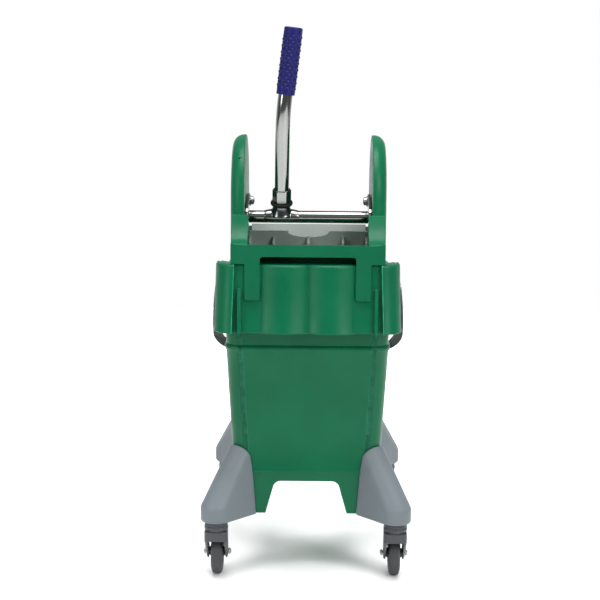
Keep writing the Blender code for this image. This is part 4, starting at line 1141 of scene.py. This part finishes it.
def make_lever():
    low, high, bar = extent("cross_bar")
    bar_r = (high.z - low.z) / 2 * 1.0196
    length = high.x - low.x
    shell = bar_r - 0.002
    profile = rounded([(0, shell), (0, bar_r), (length, bar_r), (length, shell)], 0.0008, 3)
    tube = turned((low.x, bar.y, bar.z), X, profile, 56, hollow=True)
    piece("press_bar", tube, "lever", "chrome", "cross_bar")
    for side, word in ((-1, "left"), (1, "right")):
        make_pivot(side, word)

    centre = Vector((TUBE_X, bar.y, bar.z))
    up = (BEND - centre).normalized()
    line = (GRIP_TOP - BEND).normalized()
    start = centre + up * 0.0238
    reach = 0.032
    path = [start, start + up * 0.01]
    path += corner_curve(BEND - up * reach, BEND, BEND + line * reach, 18)
    path.append(GRIP_TOP - line * 0.0055)
    tube = sweep(path, TUBE_R, 56, bore=TUBE_R - 0.0018)
    piece("bent_tube", tube, "lever", "chrome", "lever_tube")

    foot = BEND + line * (GRIP_FOOT_Z - BEND.z) / line.z
    span = (GRIP_TOP - foot).length - 0.0006
    grip = grip_mesh(foot, line, span)
    piece("nubbed_grip", grip, "lever", "grip_rubber", "lever_grip", crease=60)

    profile = rounded([(0.024, TUBE_BORE), (0.024, 0.0172), (0.025, 0.0192), (0.027, 0.0198),
                       (0.029, 0.0192), (0.0301, 0.0176), (0.0301, TUBE_BORE)], 0.0008)
    collar = turned(centre, up, profile, 64, hollow=True)
    piece("rubber_washer", collar, "lever", "collar_rubber", "lever_collar")
    piece("clamp_nut", hex_nut(centre, up), "lever", "chrome", "lever_nut", edge=0.0004)
    clamp = clamp_mesh(centre, up, bar_r)
    piece("cast_clamp", clamp, "lever", "chrome", "lever_clamp", look="dark_chrome")


# ---- studio

def area_light(name, place, target, width, power):
    data = bpy.data.lights.new(name, "AREA")
    data.energy = power
    data.shape = "RECTANGLE"
    data.size = width
    data.size_y = 1.6
    made = placed(name, data)
    made.location = place
    made.rotation_euler = (Vector(target) - Vector(place)).to_track_quat("-Z", "Y").to_euler()
    return made


def make_floor():
    mesh = bmesh.new()
    bmesh.ops.create_grid(mesh, x_segments=2, y_segments=2, size=FLOOR_SIZE)
    floor = placed("floor", mesh_data("floor", mesh))
    paint = finish_material("floor_paint", (0.96, 0.96, 0.96), 0.6, vary=0.01, grain=(200.0, 0.02))
    floor.data.materials.append(paint)


def make_world():
    """A white studio that is darker behind the camera and at the sides, where flags would stand."""
    world = bpy.data.worlds.new("studio")
    bpy.context.scene.world = world
    world.use_nodes = True
    tree = world.node_tree
    background = tree.nodes["Background"]
    place = node(tree, "TexCoord")
    split = node(tree, "SeparateXYZ")
    tree.links.new(place.outputs["Generated"], split.inputs["Vector"])
    ahead = ramp(tree, split.outputs["Y"], 0.1, 0.75, 0.0, 1.0)
    above = ramp(tree, split.outputs["Z"], 0.07, 0.26, 0.0, 1.0)
    glow = mixed(tree, ahead, (0.16, 0.165, 0.17), (1.0, 1.0, 1.0))
    sky = mixed(tree, above, glow, (0.34, 0.345, 0.35))
    tree.links.new(sky, background.inputs["Color"])


def make_studio():
    bpy.context.scene.view_settings.view_transform = "Standard"
    make_floor()
    make_world()
    target = (0, MID_Y, 0.45)
    area_light("key", (1.9, -2.4, 1.9), target, 1.2, 60)
    area_light("fill", (-2.2, -2.0, 1.4), target, 1.0, 26)
    area_light("top", (0.0, -0.6, 3.0), target, 2.2, 105)
    back = area_light("back", (0.0, 2.4, 2.2), (0, 1.6, 0.0), 2.6, 120)
    back.visible_glossy = False


def make_camera():
    data = bpy.data.cameras.new("camera")
    data.lens = 90.0
    data.sensor_width = 36.0
    camera = placed("camera", data)
    camera.location = (0.0092, MID_Y - 2.792, 0.916)
    aim = Matrix.Rotation(math.radians(0.5), 4, "Z") @ Matrix.Rotation(math.radians(90 - 8.97), 4, "X")
    camera.rotation_euler = (aim @ Matrix.Rotation(math.radians(0.45), 4, "Z")).to_euler()
    bpy.context.scene.camera = camera


def main():
    make_camera()
    make_studio()
    make_bucket()
    fit = 0.0016
    for side in (-1, 1):
        for end in (-1, 1):
            envelope = loft([tub_ring(z, fit) for z in (0.04, 0.3, BEAD_Z - 0.02)])
            make_corner(side, end, envelope)
    make_bail()
    make_wringer_frame()
    make_press_plate()
    make_lever()


main()
